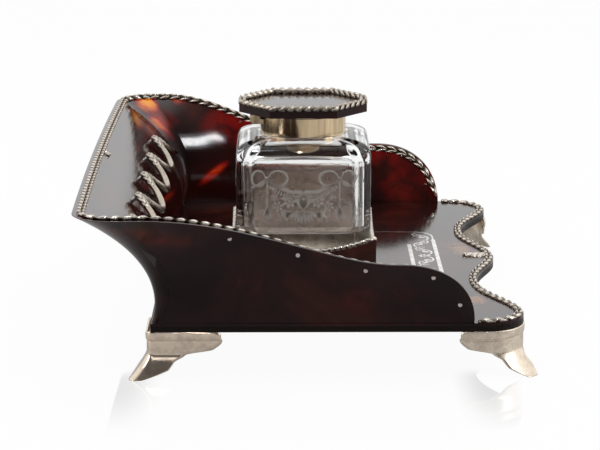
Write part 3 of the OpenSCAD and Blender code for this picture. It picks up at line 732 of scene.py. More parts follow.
def make_gallery_rope():
    """The closed rope of two twisted strands on the gallery, with its hollows between them."""
    line = gallery_rope_path()
    total, frames = path_frames(line, [(0, 0, 1)] * len(line), ROPE_STEP, True)
    turns = round(total / ROPE_TWIST)
    sides = 18
    rings, relief = [], []
    for at, point, up, side in frames:
        ring = []
        for j in range(sides):
            a = 2 * math.pi * j / sides
            h = abs(math.cos(a + math.pi * turns * at / total)) ** STRAND_FULL
            r = ROPE_D / 2 * mix(ROPE_HOLLOW, 1, h)
            ring.append(point + r * (math.cos(a) * side + math.sin(a) * up))
            relief.append(mix(HOLLOW_SHADE_AND_TARNISH, 1, h))
        rings.append(ring)
    return loft("gallery_rope", rings, True, relief)


def cut_corners(w, d, cut_x, cut_y):
    """A rectangle with cut corners, as points counter-clockwise."""
    a, b = (w / 2, d / 2 - cut_y), (w / 2 - cut_x, d / 2)
    half = [np.array(p) for p in (a, b, (-b[0], b[1]), (-a[0], a[1]))]
    return half + [-p for p in half]


def rounded_outline(corners, radius, arc=5):
    """A closed outline with rounded corners."""
    points = []
    n = len(corners)
    for i in range(n):
        p, before, after = corners[i], corners[i - 1], corners[(i + 1) % n]
        a, b = p + radius * unit(before - p), p + radius * unit(after - p)
        for k in range(arc + 1):
            t = k / arc
            points.append((1 - t) ** 2 * a + 2 * t * (1 - t) * p + t * t * b)
    return points


def make_lid_edge():
    """The carved border round the top of the lid."""
    inset = LID_ROPE - 2 * LID_OVER
    corners = cut_corners(LID_W - inset, LID_D - inset, LID_CUT, LID_END_CUT)
    line = [(*p, PLATE_TOP) for p in rounded_outline(corners, LID_LINE_R)]
    line.append(line[0])
    up = [(0, 0, 1)] * len(line)
    return carved_strip("lid_border_carving", line, up, LID_ROPE, LID_ROPE_H, LID_CARVING, closed=True)


# Bottle
NECK_STEP = 0.6
SHOULDER_POWER = 1.6
CUT_ROUND = 1.1
RING_STEP = 2.2
FOOT_BEVEL = 1.2
WELL_BEVEL = 3.0
MOUTH_BEVEL = 0.8


def glass_rings(w, cut, d, low, high, rise, foot):
    """Rings of the bottle's form: a foot bevel, straight faces, and a shoulder that turns round."""
    outline = rounded_outline(cut_corners(w, w, cut, cut), CUT_ROUND, arc=4)
    dense = []
    n = len(outline)
    for i in range(n):
        steps = max(1, int(np.linalg.norm(outline[(i + 1) % n] - outline[i]) / RING_STEP))
        dense += [mix(outline[i], outline[(i + 1) % n], k / steps) for k in range(steps)]

    def ring(turn, z, grow=0.0):
        return [(*mix(p * (1 + 2 * grow / w), d / 2 * unit(p), turn), z) for p in dense]

    rings = [ring(0, low, -foot), ring(0, low + 0.3 * foot, -0.35 * foot), ring(0, low + foot)]
    rings += [ring(0, mix(low + foot, high, k / 4)) for k in range(1, 4)]
    for k in range(0, 91, 6):
        a = math.radians(k)
        rings.append(ring((1 - math.cos(a)) ** SHOULDER_POWER, high + rise * math.sin(a)))
    return rings


def round_rings(d, z0, z1, like):
    """Round rings with the same points as another ring, for the neck."""
    return [[(*(d / 2 * unit(p[:2])), z) for p in like] for z in (z0, z1)]


def make_bottle():
    """The glass: outer form and neck, joined over the mouth to the inner well."""
    outer = glass_rings(
        BOTTLE_W, BOTTLE_CUT, NECK_D + 2 * NECK_STEP, GLASS_Z, GLASS_Z + FACE_H, SHOULDER_H, FOOT_BEVEL
    )
    neck_z = GLASS_Z + FACE_H + SHOULDER_H
    outer += round_rings(NECK_D, neck_z + 0.1, NECK_TOP - 0.3, outer[-1])
    outer += round_rings(NECK_D - MOUTH_BEVEL, NECK_TOP, NECK_TOP, outer[-1])[1:]
    inner = glass_rings(
        BOTTLE_W - 2 * GLASS_SIDE, BOTTLE_CUT / 2, NECK_BORE, GLASS_Z + GLASS_BOTTOM,
        GLASS_Z + FACE_H - GLASS_SIDE, SHOULDER_H, WELL_BEVEL
    )
    inner += round_rings(NECK_BORE, NECK_TOP - 0.3, NECK_TOP, inner[-1])
    points, faces = [], []
    for rings in (outer, inner):
        start = len(points)
        count = len(rings[0])
        points += [p for r in rings for p in r]
        faces += grid_faces(len(rings), count, start=start)
        faces.append(tuple(start + j for j in range(count)))
        if rings is outer:
            mouth, mouth_count = len(points) - count, count
    inner_mouth, inner_count = len(points) - len(inner[0]), len(inner[0])
    faces += bridge(points, mouth, mouth_count, inner_mouth, inner_count)
    piece = smooth_mesh("bottle_clear_glass", points, faces)
    smooth_by_angle(piece, 28)
    return piece


def bridge(points, a, a_count, b, b_count):
    """Triangles between two rings round the Z axis with different numbers of points."""

    def angle(i):
        return math.atan2(points[i][1], points[i][0]) % (2 * math.pi)

    ring_a = sorted(range(a, a + a_count), key=angle)
    ring_b = sorted(range(b, b + b_count), key=angle)
    faces, i, j = [], 0, 0
    while i < a_count or j < b_count:
        p, q = ring_a[i % a_count], ring_b[j % b_count]
        next_a = angle(p) if i < a_count else math.inf
        next_b = angle(q) if j < b_count else math.inf
        if next_a <= next_b:
            faces.append((p, ring_a[(i + 1) % a_count], q))
            i += 1
        else:
            faces.append((p, ring_b[(j + 1) % b_count], q))
            j += 1
    return faces


FILM_FACING = 0.97


def add_film(bottle, film):
    """Puts the film on the flat inner faces towards the sides and the floor, and under the bottle."""
    bottle.data.materials.append(film)
    half = (BOTTLE_W / 2 - GLASS_SIDE / 2) * MM
    low, high = (GLASS_Z + GLASS_BOTTOM / 2) * MM, (GLASS_Z + FACE_H - GLASS_SIDE) * MM
    under = (GLASS_Z + 0.2) * MM
    for face in bottle.data.polygons:
        x, y, z = face.center
        inner = max(abs(x - X_SHIFT * MM), abs(y)) < half and low < z < high
        if inner and max(abs(face.normal.y), abs(face.normal.z)) > FILM_FACING or z < under:
            face.material_index = 1


# Flat ornament drawn as ribbons, leaves and petals in a plane, then laid on a surface
class Drawing:
    """A flat drawing in millimetres, built from thin filled shapes."""

    def __init__(self):
        self.points = []
        self.faces = []

    def ribbon(self, line, widths):
        """A band along a line, with a width at its start, middle and end."""
        line = np.asarray(line, float)
        n = len(line)
        start = len(self.points)
        for i in range(n):
            d = unit(line[min(n - 1, i + 1)] - line[max(0, i - 1)])
            k = i / (n - 1)
            w = mix(widths[0], widths[1], 2 * k) if k < 0.5 else mix(widths[1], widths[2], 2 * k - 1)
            side = np.array([-d[1], d[0]]) * w / 2
            self.points += [line[i] + side, line[i] - side]
        self.faces += [
            (start + 2 * i, start + 2 * i + 1, start + 2 * i + 3, start + 2 * i + 2) for i in range(n - 1)
        ]

    def petal(self, base, angle, length, width):
        """A pointed petal or leaf from its base."""
        base = np.asarray(base, float)
        d = np.array([math.cos(angle), math.sin(angle)])
        n = np.array([-d[1], d[0]])
        start = len(self.points)
        there, back = [(i, 1) for i in range(7)], [(i, -1) for i in range(5, 0, -1)]
        for i, sign in there + back:
            half = sign * width / 2 * math.sin(math.pi * i / 6) ** 0.8
            self.points.append(base + d * length * i / 6 + n * half)
        self.faces.append(tuple(range(start, len(self.points))))

    def flower(self, centre, radius, petals, turn=0.0):
        """A ring of petals round a small heart."""
        centre = np.asarray(centre, float)
        for i in range(petals):
            a = turn + 2 * math.pi * i / petals
            start = centre + 0.28 * radius * np.array([math.cos(a), math.sin(a)])
            self.petal(start, a, 0.72 * radius, 0.46 * radius)
        self.disc(centre, 0.2 * radius)

    def disc(self, centre, radius, sides=12):
        start = len(self.points)
        for i in range(sides):
            a = 2 * math.pi * i / sides
            self.points.append(np.asarray(centre, float) + radius * np.array([math.cos(a), math.sin(a)]))
        self.faces.append(tuple(range(start, start + sides)))

    def mirrored(self):
        """Adds the same shapes on the other side of the drawing's middle line."""
        start = len(self.points)
        self.points += [np.array([-p[0], p[1]]) for p in self.points]
        self.faces += [tuple(start + i for i in reversed(f)) for f in self.faces]

    def laid(self, name, origin, across, up, thick):
        """The drawing as a thin solid on a plane."""
        origin, across, up = np.asarray(origin, float), unit(across), unit(up)
        normal = np.cross(across, up)
        flat = [origin + p[0] * across + p[1] * up for p in self.points]
        count = len(flat)
        points = flat + [p + normal * thick for p in flat]
        faces = []
        for f in self.faces:
            faces.append(tuple(i + count for i in f))
            faces.append(tuple(reversed(f)))
            for a, b in zip(f, f[1:] + f[:1]):
                faces.append((a, b, b + count, a + count))
        return smooth_mesh(name, points, faces, smooth=False)


def arc(centre, radii, start, end, steps):
    """Points of an elliptical arc, with angles in degrees."""
    angles = [math.radians(mix(start, end, i / steps)) for i in range(steps + 1)]
    return [(centre[0] + radii[0] * math.cos(a), centre[1] + radii[1] * math.sin(a)) for a in angles]


# Etching: the left bow's knot, its loops as offset, half width and half height, the drop and the garland
KNOT = (-13.9, 17.4)
BOW_LOOPS = ((4.2, 3.6, 3.0), (-3.3, 2.6, 3.0))
BOW_TAILS = (((-2.4, -1.6), (-4.2, -2.6), (-6.0, -3.3)), ((2.2, -2.2), (4.6, -3.5), (7.2, -3.0)))
TAIL_ENDS = (0.6, 0.5)
DROP_L = 11.4
SWAG_SAG = 3.4
SWAG_LEAVES = 14
# Flowers as middle, radius, petals and turn; sprays of leaves as base, its step, angles, length and width
FLOWERS = (
    ((-5.4, 8.6), 2.8, 7, 0.0), ((-9.7, 6.6), 2.2, 6, 0.3), ((-7.2, 3.6), 1.8, 6, 0.5),
    ((-11.2, 10.2), 1.4, 5, 0.0),
)
SPRAYS = (
    ((-3.6, 4.4), -0.7, (188, 212, 236, 258), 3.6, 1.0), ((-0.2, 5.4), 0, (70, 96, 122), 6.0, 1.5),
    ((-0.5, 4.6), 0, (-95, -114, -133, -152, -171), 5.2, 1.0),
)
ETCH_MIDDLE = 19.3
ETCH_DEPTH = 0.04


def etched_design():
    """Bows, drops, a garland and flowers for one face of the bottle, from the middle of the etched part."""
    d = Drawing()
    knot = np.array(KNOT)
    for offset, across, high in BOW_LOOPS:
        start = 180 if offset > 0 else 0
        d.ribbon(arc(knot + [offset, 0.2], (across, high), start, start + 352, 30), (0.4, 0.95, 0.4))
    for bends, end in zip(BOW_TAILS, TAIL_ENDS):
        d.ribbon([knot] + [knot + bend for bend in bends], (0.4, 0.9, end))
    d.disc(knot, 0.75)
    drop = knot - [0, DROP_L]
    d.ribbon([knot, 0.5 * (knot + drop), drop], (0.4, 0.4, 0.5))
    for turn in range(-2, 3):
        d.petal(drop, math.radians(-90 + 11 * turn), 4.8 - 0.2 * abs(turn), 0.95)
    for i in range(SWAG_LEAVES):
        t = i / (SWAG_LEAVES - 1)
        at = knot + [2.0 + 12.0 * t, -2.8 - SWAG_SAG * math.sin(0.72 * math.pi * t)]
        for turn in (35, 215):
            d.petal(at, math.radians(turn + 9 * i), 1.9 + 0.4 * t, 0.75)
    for flower in FLOWERS:
        d.flower(*flower)
    for (x, y), step, turns, length, width in SPRAYS:
        for i, turn in enumerate(turns):
            d.petal((x + step * i, y), math.radians(turn), length, width)
    d.mirrored()
    return d


def make_etching():
    """The etched design on all four faces."""
    parts = []
    for i in range(4):
        a = math.pi / 2 * i
        out = np.array([math.sin(a), -math.cos(a), 0])
        across = np.array([math.cos(a), math.sin(a), 0])
        origin = out * (BOTTLE_W / 2 + 0.01) + [0, 0, GLASS_Z + ETCH_MIDDLE]
        parts.append(etched_design().laid("etching_face_%d" % i, origin, across, [0, 0, 1], ETCH_DEPTH))
    return join("bottle_etching", parts)


# Inlaid ornament on the base
BAR_X = 43.2
BAR_PITCH = 10.2
INLAY_LIFT = 0.03
INLAY_SUNK = 0.01
SCROLL_PITCH = 12.0


def make_inlay_scrolls():
    """Scrolls and leaves let into the base between its two bars, both ways from the middle."""
    d = Drawing()
    for k in range(3):
        x = 5.6 + SCROLL_PITCH * k
        flip = 1 if k % 2 == 0 else -1
        d.ribbon(arc((x, 0), (4.4, 3.2 * flip), 200, -60, 24), (0.3, 0.8, 0.25))
        d.ribbon(arc((x + SCROLL_PITCH / 2, 0), (3.2, 2.8 * -flip), 180, -20, 20), (0.3, 0.75, 0.2))
        for turn in (20, 62, 104):
            d.petal((x + 0.8, -0.5 * flip), math.radians(flip * turn), 3.4, 0.9)
        d.petal((x + 4.6, 1.0 * flip), math.radians(-flip * 55), 3.6, 1.0)
    d.flower((0, 0), 2.6, 8)
    d.mirrored()
    origin = [BAR_X + BAR_PITCH / 2, 0, BASE_Z - INLAY_SUNK]
    return d.laid("base_inlay_scrolls", origin, [0, -1, 0], [1, 0, 0], INLAY_LIFT)


# Materials
class Look:
    """A node tree being built, with short ways to add, set and link its nodes."""

    def __init__(self, owner):
        owner.use_nodes = True
        self.owner = owner
        self.tree = owner.node_tree

    def fill(self, node, inputs):
        """Sets a node's inputs: a socket is linked, anything else is a constant."""
        for key, value in inputs.items():
            if isinstance(value, bpy.types.NodeSocket):
                self.tree.links.new(value, node.inputs[key])
            else:
                node.inputs[key].default_value = value

    def add(self, kind, inputs, output=0, **settings):
        """Adds a node and gives one of its outputs."""
        node = self.tree.nodes.new("ShaderNode" + kind)
        for key, value in settings.items():
            setattr(node, key, value)
        self.fill(node, inputs)
        return node.outputs[output]

    def place(self):
        return self.add("TexCoord", {}, "Object")

    def axis(self, vector, name):
        return self.add("SeparateXYZ", {"Vector": vector}, name)

    def ray(self, kind):
        """1 for rays of one kind, such as Camera, and 0 for others."""
        return self.add("LightPath", {}, "Is %s Ray" % kind)

    def math(self, operation, *values):
        return self.add("Math", dict(enumerate(values)), operation=operation)

    def noise(self, scale, detail, rough, warp=0.0, place=None):
        """A cloudy noise in the piece's own space, or in another."""
        place = self.place() if place is None else place
        values = {"Vector": place, "Scale": scale, "Detail": detail, "Roughness": rough, "Distortion": warp}
        return self.add("TexNoise", values, "Fac")

    def ramp(self, value, *stops):
        """A colour that follows a value: stops of a place and a colour, or a grey."""
        colour = self.add("ValToRGB", {"Fac": value})
        colour.node.color_ramp.interpolation = "EASE"
        elements = colour.node.color_ramp.elements
        while len(elements) < len(stops):
            elements.new(0.5)
        for element, (at, tone) in zip(elements, stops):
            element.position = at
            element.color = (*tone, 1) if isinstance(tone, tuple) else (tone, tone, tone, 1)
        return colour

    def span(self, value, start, end, low=0.0, high=1.0, curve="SMOOTHSTEP"):
        """A value that goes from low to high while another goes from start to end."""
        limits = {"From Min": start, "From Max": end, "To Min": low, "To Max": high}
        return self.add("MapRange", {"Value": value, **limits}, interpolation_type=curve)

    def mix(self, share, a, b, blend="MIX"):
        """A colour between two, or two multiplied."""
        inputs = {"Factor": share, "A": a, "B": b}
        return self.add("Mix", inputs, "Result", data_type="RGBA", blend_type=blend)

    def blend(self, share, a, b):
        """A shader between two."""
        return self.add("MixShader", {"Fac": share, 1: a, 2: b})

    def bump(self, height, strength, distance):
        return self.add("Bump", {"Height": height, "Strength": strength, "Distance": distance})

    def main(self, inputs, name="Principled BSDF"):
        """Sets the shader that the tree came with, and gives its output."""
        shader = self.tree.nodes[name]
        self.fill(shader, inputs)
        return shader.outputs[0]

    def surface(self, shader, output="Material Output"):
        self.fill(self.tree.nodes[output], {"Surface": shader})


def new_look(name):
    return Look(bpy.data.materials.new(name))


# Where the shell is clear, and one painted reflection: middle and reach in millimetres, turn about Y in
# degrees, and how clear it is
CLEAR_AND_REFLECTION_PATCHES = (
    ((50, 100, 29), (20, 30, 15), 0, 0.22), ((-10, 104, 50), (40, 30, 14), 10, 0.36),
    ((34, 103, 40), (16, 30, 6), 10, 0.3), ((-38, 97, 33), (9, 25, 2.0), -38, 0.52),
    ((-68, 114, 60), (6, 20, 3.0), 15, 1.0), ((-54, 113, 62), (3.6, 20, 2.4), 0, 0.85),
    ((-62, 105, 52), (9, 14, 1.9), 42, 0.72), ((-62, 108, 56), (11, 14, 5), 20, 0.24),
    ((-20, -100, 34), (9, 20, 12), 0, 0.11), ((20, -100, 29), (12, 20, 9), 0, 0.10),
    # The patch at (-52, -112, 56) on the near wall's upper left is a painted reflection: reddish light under
    # the near rim, not clear shell.
    ((34, -101, 33), (7, 20, 7), 0, 0.12), ((-52, -112, 56), (24, 20, 6), 12, 0.12),
    ((63, 13, 20), (6, 16, 4), 0, 0.8), ((63, -67, 20), (5, 9, 4), 0, 0.85),
)
PATCH_RIM = 1.3
PATCH_HEART = 0.3
# Which way up the shell's faces start to shine and shine in full, and the least shine: a painted sheen that
# makes the same shell reflect more on upward faces than on upright ones
PAINTED_SHEEN_FROM = 0.7
PAINTED_SHEEN_FULL = 0.79
LEAST_PAINTED_SHEEN = 0.18


def clear_and_reflection_mask(look):
    """A value that is high in the clear patches and in the painted reflection, with ragged edges."""
    place = look.place()
    ragged = look.span(look.noise(75, 5.0, 0.65, 1.0), 0.3, 0.7, 0.3, 1.5, "LINEAR")
    total = None
    for middle, reach, turn, clear in CLEAR_AND_REFLECTION_PATCHES:
        inside = look.add("Mapping", {
            "Vector": place, "Location": (Vector(middle) + Vector((X_SHIFT, 0, 0))) * MM,
            "Rotation": (0, math.radians(turn), 0), "Scale": [r * MM for r in reach],
        }, vector_type="TEXTURE")
        apart = look.add("VectorMath", {0: inside}, "Value", operation="LENGTH")
        spot = look.span(apart, PATCH_RIM, PATCH_HEART, 0.0, clear)
        total = spot if total is None else look.math("MAXIMUM", total, spot)
    return look.math("MULTIPLY", total, ragged)


def tortoiseshell():
    """Near-black brown shell that glows red and amber in patches, one of them a painted reflection; its
    upward faces shine most, a painted sheen.
    """
    look = new_look("tortoiseshell")
    mask = clear_and_reflection_mask(look)
    dark = look.ramp(
        look.noise(30, 4.0, 0.55, 0.6),
        (0.36, (0.008, 0.003, 0.003)), (0.52, (0.020, 0.006, 0.005)), (0.64, (0.044, 0.010, 0.007)),
        (0.74, (0.070, 0.016, 0.009))
    )
    clear = look.ramp(
        mask, (0.1, (0.030, 0.006, 0.003)), (0.3, (0.050, 0.008, 0.004)), (0.6, (0.12, 0.03, 0.008)),
        (0.9, (0.24, 0.10, 0.02))
    )
    glow = look.ramp(
        mask, (0.05, (0.06, 0.008, 0.006)), (0.25, (0.32, 0.022, 0.018)), (0.5, (0.62, 0.06, 0.014)),
        (0.75, (0.74, 0.36, 0.03)), (0.95, (0.78, 0.52, 0.05))
    )
    upward = look.axis(look.add("NewGeometry", {}, "Normal"), "Z")
    body = look.main({
        "Base Color": look.mix(mask, dark, clear),
        "Roughness": look.ramp(look.noise(900, 3.0, 0.6), (0.3, 0.07), (0.7, 0.13)),
        "Normal": look.bump(look.noise(90, 2.0, 0.5), 0.06, 0.0003),
        # Painted sheen: the reflection grows as a face turns upward.
        "Specular IOR Level": look.span(upward, PAINTED_SHEEN_FROM, PAINTED_SHEEN_FULL, LEAST_PAINTED_SHEEN),
    })
    look.surface(look.add("AddShader", {0: body, 1: look.add("BsdfTranslucent", {"Color": glow})}))
    return look.owner


def silver(name, warm, rough_low, rough_high, relief=False, wear=260, dull=0.8, upright=1.0):
    """Polished silver with soft wear, and darker hollows where a carving's height is kept: painted shade
    together with tarnish.

    The wear dulls the colour to a share of it; a small upright draws the dulling out into upright streaks,
    which on the collar are a painted reflection.
    """
    look = new_look(name)
    drawn = look.add("Mapping", {"Vector": look.place(), "Scale": (1, 1, upright)})
    stains_and_reflection_streaks = look.noise(wear, 4.0, 0.6, place=drawn)
    base = look.ramp(stains_and_reflection_streaks, (0.36, tuple(dull * c for c in warm)), (0.62, warm))
    if relief:
        kept = look.add("Attribute", {}, "Fac", attribute_name="relief")
        # Darker hollows from the carving's height: painted shade together with tarnish.
        hollows = look.ramp(kept, (0.20, (0.03, 0.022, 0.017)), (0.50, (0.34, 0.30, 0.26)), (0.82, 1.0))
        base = look.mix(1.0, base, hollows, "MULTIPLY")
    scratches = look.noise(1400, 3.0, 0.65)
    look.main({
        "Base Color": base, "Metallic": 1.0, "Normal": look.bump(scratches, 0.08, 0.0001),
        "Roughness": look.ramp(scratches, (0.3, rough_low), (0.7, rough_high)),
    })
    return look.owner


GLASS_IOR = 1.5


def glass():
    """Thick clear glass with a faint grey tint, slight ripples and dust."""
    look = new_look("clear_glass")
    ripples = look.noise(55, 2.0, 0.5)
    look.main({
        "Base Color": look.ramp(ripples, (0.3, (0.955, 0.965, 0.965)), (0.7, (0.985, 0.99, 0.99))),
        "Roughness": look.ramp(look.noise(700, 4.0, 0.6), (0.45, 0.03), (0.8, 0.07)),
        "Normal": look.bump(ripples, 0.06, 0.0004), "Transmission Weight": 1.0, "IOR": GLASS_IOR,
    })
    return look.owner


def stained_glass():
    """The inside of the bottle: glass with a thin film left by ink, thicker towards the bottom."""
    look = new_look("stained_glass")
    film = look.noise(120, 4.0, 0.6, 0.5)
    low = (GLASS_Z + GLASS_BOTTOM) * MM
    high = (GLASS_Z + FACE_H - 2 * GLASS_SIDE) * MM
    look.main({
        "Base Color": look.ramp(film, (0.3, (0.74, 0.62, 0.54)), (0.7, (0.90, 0.78, 0.69))),
        "Roughness": look.ramp(film, (0.3, 0.22), (0.7, 0.34)),
        "Transmission Weight": look.span(look.axis(look.place(), "Z"), low, high, 0.1, 0.88),
        "IOR": GLASS_IOR,
    })
    return look.owner


def frosted():
    """Etched glass: pale, matt and grainy."""
    look = new_look("etched_frost")
    grain = look.noise(2200, 3.0, 0.7)
    look.main({
        "Base Color": look.ramp(grain, (0.3, (0.84, 0.78, 0.73)), (0.7, (0.97, 0.92, 0.87))),
        "Normal": look.bump(grain, 0.4, 0.0002), "Roughness": 0.6, "Alpha": 0.75,
    })
    return look.owner


def dark_wood():
    """Dark stained wood with a fine grain along Y."""
    look = new_look("dark_wood")
    stretch = look.add("Mapping", {"Vector": look.place(), "Scale": (9.0, 0.6, 9.0)})
    grain = look.noise(90, 6.0, 0.65, 0.4, stretch)
    look.main({
        "Base Color": look.ramp(grain, (0.3, (0.004, 0.002, 0.002)), (0.7, (0.016, 0.008, 0.005))),
        "Roughness": look.ramp(grain, (0.3, 0.3), (0.7, 0.5)),
        "Normal": look.bump(grain, 0.2, 0.0003), "Specular IOR Level": 0.15,
    })
    return look.owner


SHELL = tortoiseshell()
CARVED = silver("carved_silver", (0.82, 0.75, 0.67), 0.20, 0.36, relief=True)
AGED = silver("aged_silver", (0.66, 0.60, 0.52), 0.26, 0.42, relief=True)
POLISHED = silver("polished_silver", (0.93, 0.88, 0.80), 0.06, 0.16)
FEET = silver("feet_silver", (0.86, 0.72, 0.58), 0.08, 0.18)
# The front feet are the same silver as the back feet, in a lighter and rougher copy: the lighter colour is
# painted light.
LIT_FRONT_FEET = silver("front_feet_lit_silver", (0.88, 0.76, 0.62), 0.24, 0.36)
SATIN = silver("satin_silver", (0.60, 0.52, 0.43), 0.16, 0.28)
INLAID = silver("inlaid_silver", (0.93, 0.91, 0.88), 0.12, 0.24)
STEEL = silver("screw_steel", (0.55, 0.53, 0.50), 0.2, 0.35)
# The collar's strong upright streaks of darker colour are a painted reflection on its polished band.
COLLAR = silver("collar_silver", (0.92, 0.71, 0.45), 0.08, 0.16, wear=150, dull=0.35, upright=0.05)
RIVET = silver("rivet_silver", (0.72, 0.67, 0.62), 0.3, 0.45)
GILT = silver("gilt_silver", (0.93, 0.74, 0.40), 0.12, 0.26)
GLASS = glass()
FILM = stained_glass()
FROST = frosted()
WOOD = dark_wood()

# Pieces of the stand
SHARP = 40
BACK_LEAF = (2.6, 3.0, 1.2)
FRONT_LEAF = (9.0, 5.5, 1.3)
BACK_LEAF_GAP = 0.05
FRONT_LEAF_GAP = 0.06
wall = make_wall()
other_wall = mirrored("right_wall_shell", wall)
back = make_back()
for shell_piece, node in ((wall, "left_wall"), (other_wall, "right_wall"), (back, "back_panel")):
    smooth_by_angle(shell_piece, SHARP)
    finish_piece(shell_piece, SHELL, "stand", "tortoiseshell", node)

back_line, back_normals = back_border_path()
side_strip = carved_strip("left_border_carving", *side_border_path(), BORDER_W, BORDER_T, LEAF_CARVING)
other_strip = mirrored("right_border_carving", side_strip)
back_strip = carved_strip(
    "back_border_carving", back_line, back_normals, BACK_BORDER_W, BORDER_T, BACK_CARVING
)
front_strip = carved_strip("front_border_carving", *front_border_path(), BORDER_W, BORDER_T, FRONT_CARVING)
middle = len(back_line) // 2
down = unit(np.cross(back_normals[middle], back_line[middle + 1] - back_line[middle - 1]))
down = -down if down[2] > 0 else down
back_tab = carved_leaf(
    "back_leaf_carving", back_line[middle] + (BACK_BORDER_W / 2 + BACK_LEAF_GAP) * down, down,
    back_normals[middle], *BACK_LEAF
)
front_tab = carved_leaf(
    "front_leaf_carving", [BULGE_X - BORDER_W - BORDER_EDGE - FRONT_LEAF_GAP, 0, BASE_Z], [-1, 0, 0],
    [0, 0, 1], *FRONT_LEAF
)
carvings = (
    (side_strip, "left_border"), (other_strip, "right_border"), (back_strip, "back_border"),
    (front_strip, "front_border"), (back_tab, "back_leaf"), (front_tab, "front_leaf"),
)
for carving, node in carvings:
    finish_piece(carving, CARVED, "stand", "silver", node)

for end, foot, metal in (("back", BACK_FOOT, FEET), ("front", FRONT_FOOT, LIT_FRONT_FEET)):
    left = make_foot("%s_left_foot_ogee" % end, foot)
    right = mirrored("%s_right_foot_ogee" % end, left)
    finish_piece(left, metal, "stand", "silver", "%s_left_foot" % end)
    finish_piece(right, metal, "stand", "silver", "%s_right_foot" % end)

finish_piece(make_rack(), SATIN, "stand", "silver", "pen_rack")
buds = join("rack_buds", [make_rack_bud(i) for i in range(PEAK_COUNT)])
finish_piece(buds, AGED, "stand", "silver", "rack_leaves")
finish_piece(make_gallery_rope(), CARVED, "stand", "silver", "gallery_border")
finish_piece(make_inlay_scrolls(), INLAID, "stand", "silver")

# Pieces of the bottle and of its lid
bottle = make_bottle()
finish_piece(bottle, GLASS, "bottle", "glass", "bottle_glass")
add_film(bottle, FILM)
finish_piece(make_etching(), FROST, "bottle", "glass")
finish_piece(make_lid_edge(), AGED, "lid", "silver", "lid_border")

# Looks of the pieces kept from the part, and the rounding of their edges in millimetres
KEPT = {
    SHELL: ("base_veneer", "lid_plate"),
    WOOD: ("base_board",),
    INLAID: ("base_inlay",),
    POLISHED: ("gallery", "gallery_pins"),
    COLLAR: ("collar", "lid_cap", "collar_hinge", "hinge_pin", "lid_hinge"),
    RIVET: ("wall_rivets",),
    STEEL: ("foot_screws", "rack_pegs"),
    GILT: ("lid_liner",),
}
EDGES = {
    "base_board": 0.3, "lid_plate": 0.5, "gallery": 0.25, "collar": 0.35, "lid_cap": 0.3, "lid_hinge": 0.3,
    "wall_rivets": 0.35,
}
for material, names in KEPT.items():
    for name in names:
        nodes[name].data.materials.clear()
        nodes[name].data.materials.append(material)
for name, width in EDGES.items():
    bevel(nodes[name], width)

# Floor and background, in metres
FLOOR_SIZE = 6.0
SEEN_WHITE = 0.95
GLOSSY_WHITE = 0.2
FLOOR_GREY = 0.45
# The faint mirror under the near feet: its strength, and where it fades in and out along X and Y
MIRROR = 0.24
MIRROR_INNER = (0.050, 0.064)
MIRROR_OUTER = (0.078, 0.068)
MIRROR_NEAR = (-0.165, -0.11)
MIRROR_FAR = (-0.085, -0.100)


def pale_floor():
    """A white sheet with a very faint tooth; it mirrors the near feet a little."""
    look = new_look("pale_floor")
    seen = look.ray("Camera")
    tooth = look.noise(40, 4.0, 0.6)
    lit_tone = look.ramp(tooth, (0.3, FLOOR_GREY), (0.7, 1.1 * FLOOR_GREY))
    seen_tone = look.ramp(tooth, (0.3, 0.90), (0.7, 0.93))
    paper = look.main({"Base Color": look.mix(seen, lit_tone, seen_tone), "Roughness": 0.4})
    in_sight = look.math("MAXIMUM", seen, look.ray("Transmission"))
    seen_share = look.span(in_sight, 0.0, 1.0, 0.0, SEEN_WHITE, "LINEAR")
    glossy_share = look.span(look.ray("Glossy"), 0.0, 1.0, 0.0, GLOSSY_WHITE, "LINEAR")
    white = look.add("Emission", {"Strength": 1.0})
    sheet = look.blend(look.math("MAXIMUM", seen_share, glossy_share), paper, white)
    along = look.axis(look.place(), "Y")
    aside = look.math("ABSOLUTE", look.axis(look.place(), "X"))
    band = seen
    for value, (start, end), strength in (
        (along, MIRROR_NEAR, MIRROR), (along, MIRROR_FAR, 1.0),
        (aside, MIRROR_INNER, 1.0), (aside, MIRROR_OUTER, 1.0),
    ):
        band = look.math("MULTIPLY", band, look.span(value, start, end, 0.0, strength))
    mirror = look.add("BsdfGlossy", {"Roughness": 0.03, "Color": (1, 1, 1, 1)})
    look.surface(look.blend(band, sheet, mirror))
    return look.owner


floor_mesh = bpy.data.meshes.new("floor")
corners = [(x * FLOOR_SIZE / 2, y * FLOOR_SIZE / 2, 0) for x, y in ((-1, -1), (1, -1), (1, 1), (-1, 1))]
floor_mesh.from_pydata(corners, [], [(0, 1, 2, 3)])
floor = bpy.data.objects.new("floor", floor_mesh)
scene = bpy.context.scene
scene.collection.objects.link(floor)
floor_mesh.materials.append(pale_floor())

# The room is white beyond the object and dim behind the camera
ROOM_LEVEL = 0.7
ROOM_DIM = 0.12
ROOM_DIM_Y = -0.75
ROOM_WHITE_Y = 0.15
scene.view_settings.view_transform = "Standard"
room = Look(bpy.data.worlds.new("studio"))
scene.world = room.owner
way = room.axis(room.add("TexCoord", {}, "Generated"), "Y")
tone = room.span(way, ROOM_DIM_Y, ROOM_WHITE_Y, ROOM_DIM)
lit = room.main({"Color": tone, "Strength": ROOM_LEVEL}, "Background")
in_mirrors = room.add("Background", {"Color": tone, "Strength": 1.0})
white = room.add("Background", {"Color": (1, 1, 1, 1), "Strength": 1.0})
bounced = room.math("MAXIMUM", room.ray("Glossy"), room.ray("Transmission"))
room.surface(room.blend(room.ray("Camera"), room.blend(bounced, lit, in_mirrors), white), "World Output")


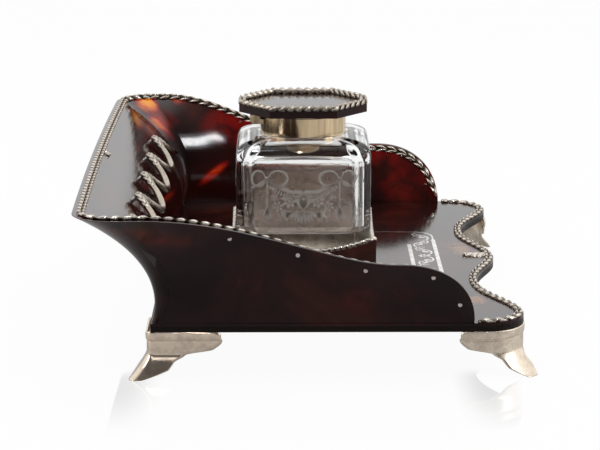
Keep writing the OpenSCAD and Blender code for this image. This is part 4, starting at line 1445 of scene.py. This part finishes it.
def area_light(name, place, target, width, height, power, shape="RECTANGLE", colour=(1, 1, 1)):
    """A soft box at a place, turned to a target, in metres and watts."""
    data = bpy.data.lights.new(name, "AREA")
    data.shape = shape
    data.size = width
    data.size_y = height
    data.energy = power
    data.color = colour
    light = bpy.data.objects.new(name, data)
    scene.collection.objects.link(light)
    light.location = place
    light.rotation_euler = (Vector(target) - Vector(place)).to_track_quat("-Z", "Y").to_euler()
    return light


MIDDLE = (0, 0, 0.04)
FAR_WALL = (-0.05, 0.1, 0.05)
BACK_TOE = (-0.08, 0, 0.02)
PALE_BLUE = (0.86, 0.88, 1.0)
area_light("left_box", (-1.0, -0.5, 0.6), MIDDLE, 0.5, 0.7, 3)
area_light("right_box", (1.0, -0.3, 0.6), MIDDLE, 0.5, 0.7, 3)
top_box = area_light("top_box", (-0.15, 0.1, 1.1), MIDDLE, 0.9, 0.9, 4)
top_box.visible_glossy = False
# Lamps that only show as highlights
highlights = (
    area_light("spark_box", (-0.09, -0.45, 0.87), FAR_WALL, 0.05, 0.17, 1.4, "ELLIPSE"),
    area_light("spark_halo", (-0.09, -0.46, 0.89), FAR_WALL, 0.11, 0.30, 0.5, "ELLIPSE", PALE_BLUE),
    area_light("front_strip", (-0.32, -1.2, 0.34), BACK_TOE, 0.64, 0.14, 0.32),
)
for lamp in highlights:
    lamp.visible_diffuse = False
    lamp.visible_transmission = False

# Camera, at the photograph's angle
CAMERA_AT = (-7.9, -865.9, 218.5)
CAMERA_LOOK = (0.0076, 0.9729, -0.2313)
CAMERA_LENS = 135.0
SENSOR_W = 36.0
camera_data = bpy.data.cameras.new("photo_camera")
camera_data.lens = CAMERA_LENS
camera_data.sensor_width = SENSOR_W
camera_data.clip_start = 0.01
camera = bpy.data.objects.new("photo_camera", camera_data)
scene.collection.objects.link(camera)
camera.location = Vector((CAMERA_AT[0] + X_SHIFT, CAMERA_AT[1], CAMERA_AT[2] + BASE_Z)) * MM
camera.rotation_euler = Vector(CAMERA_LOOK).to_track_quat("-Z", "Y").to_euler()
scene.camera = camera
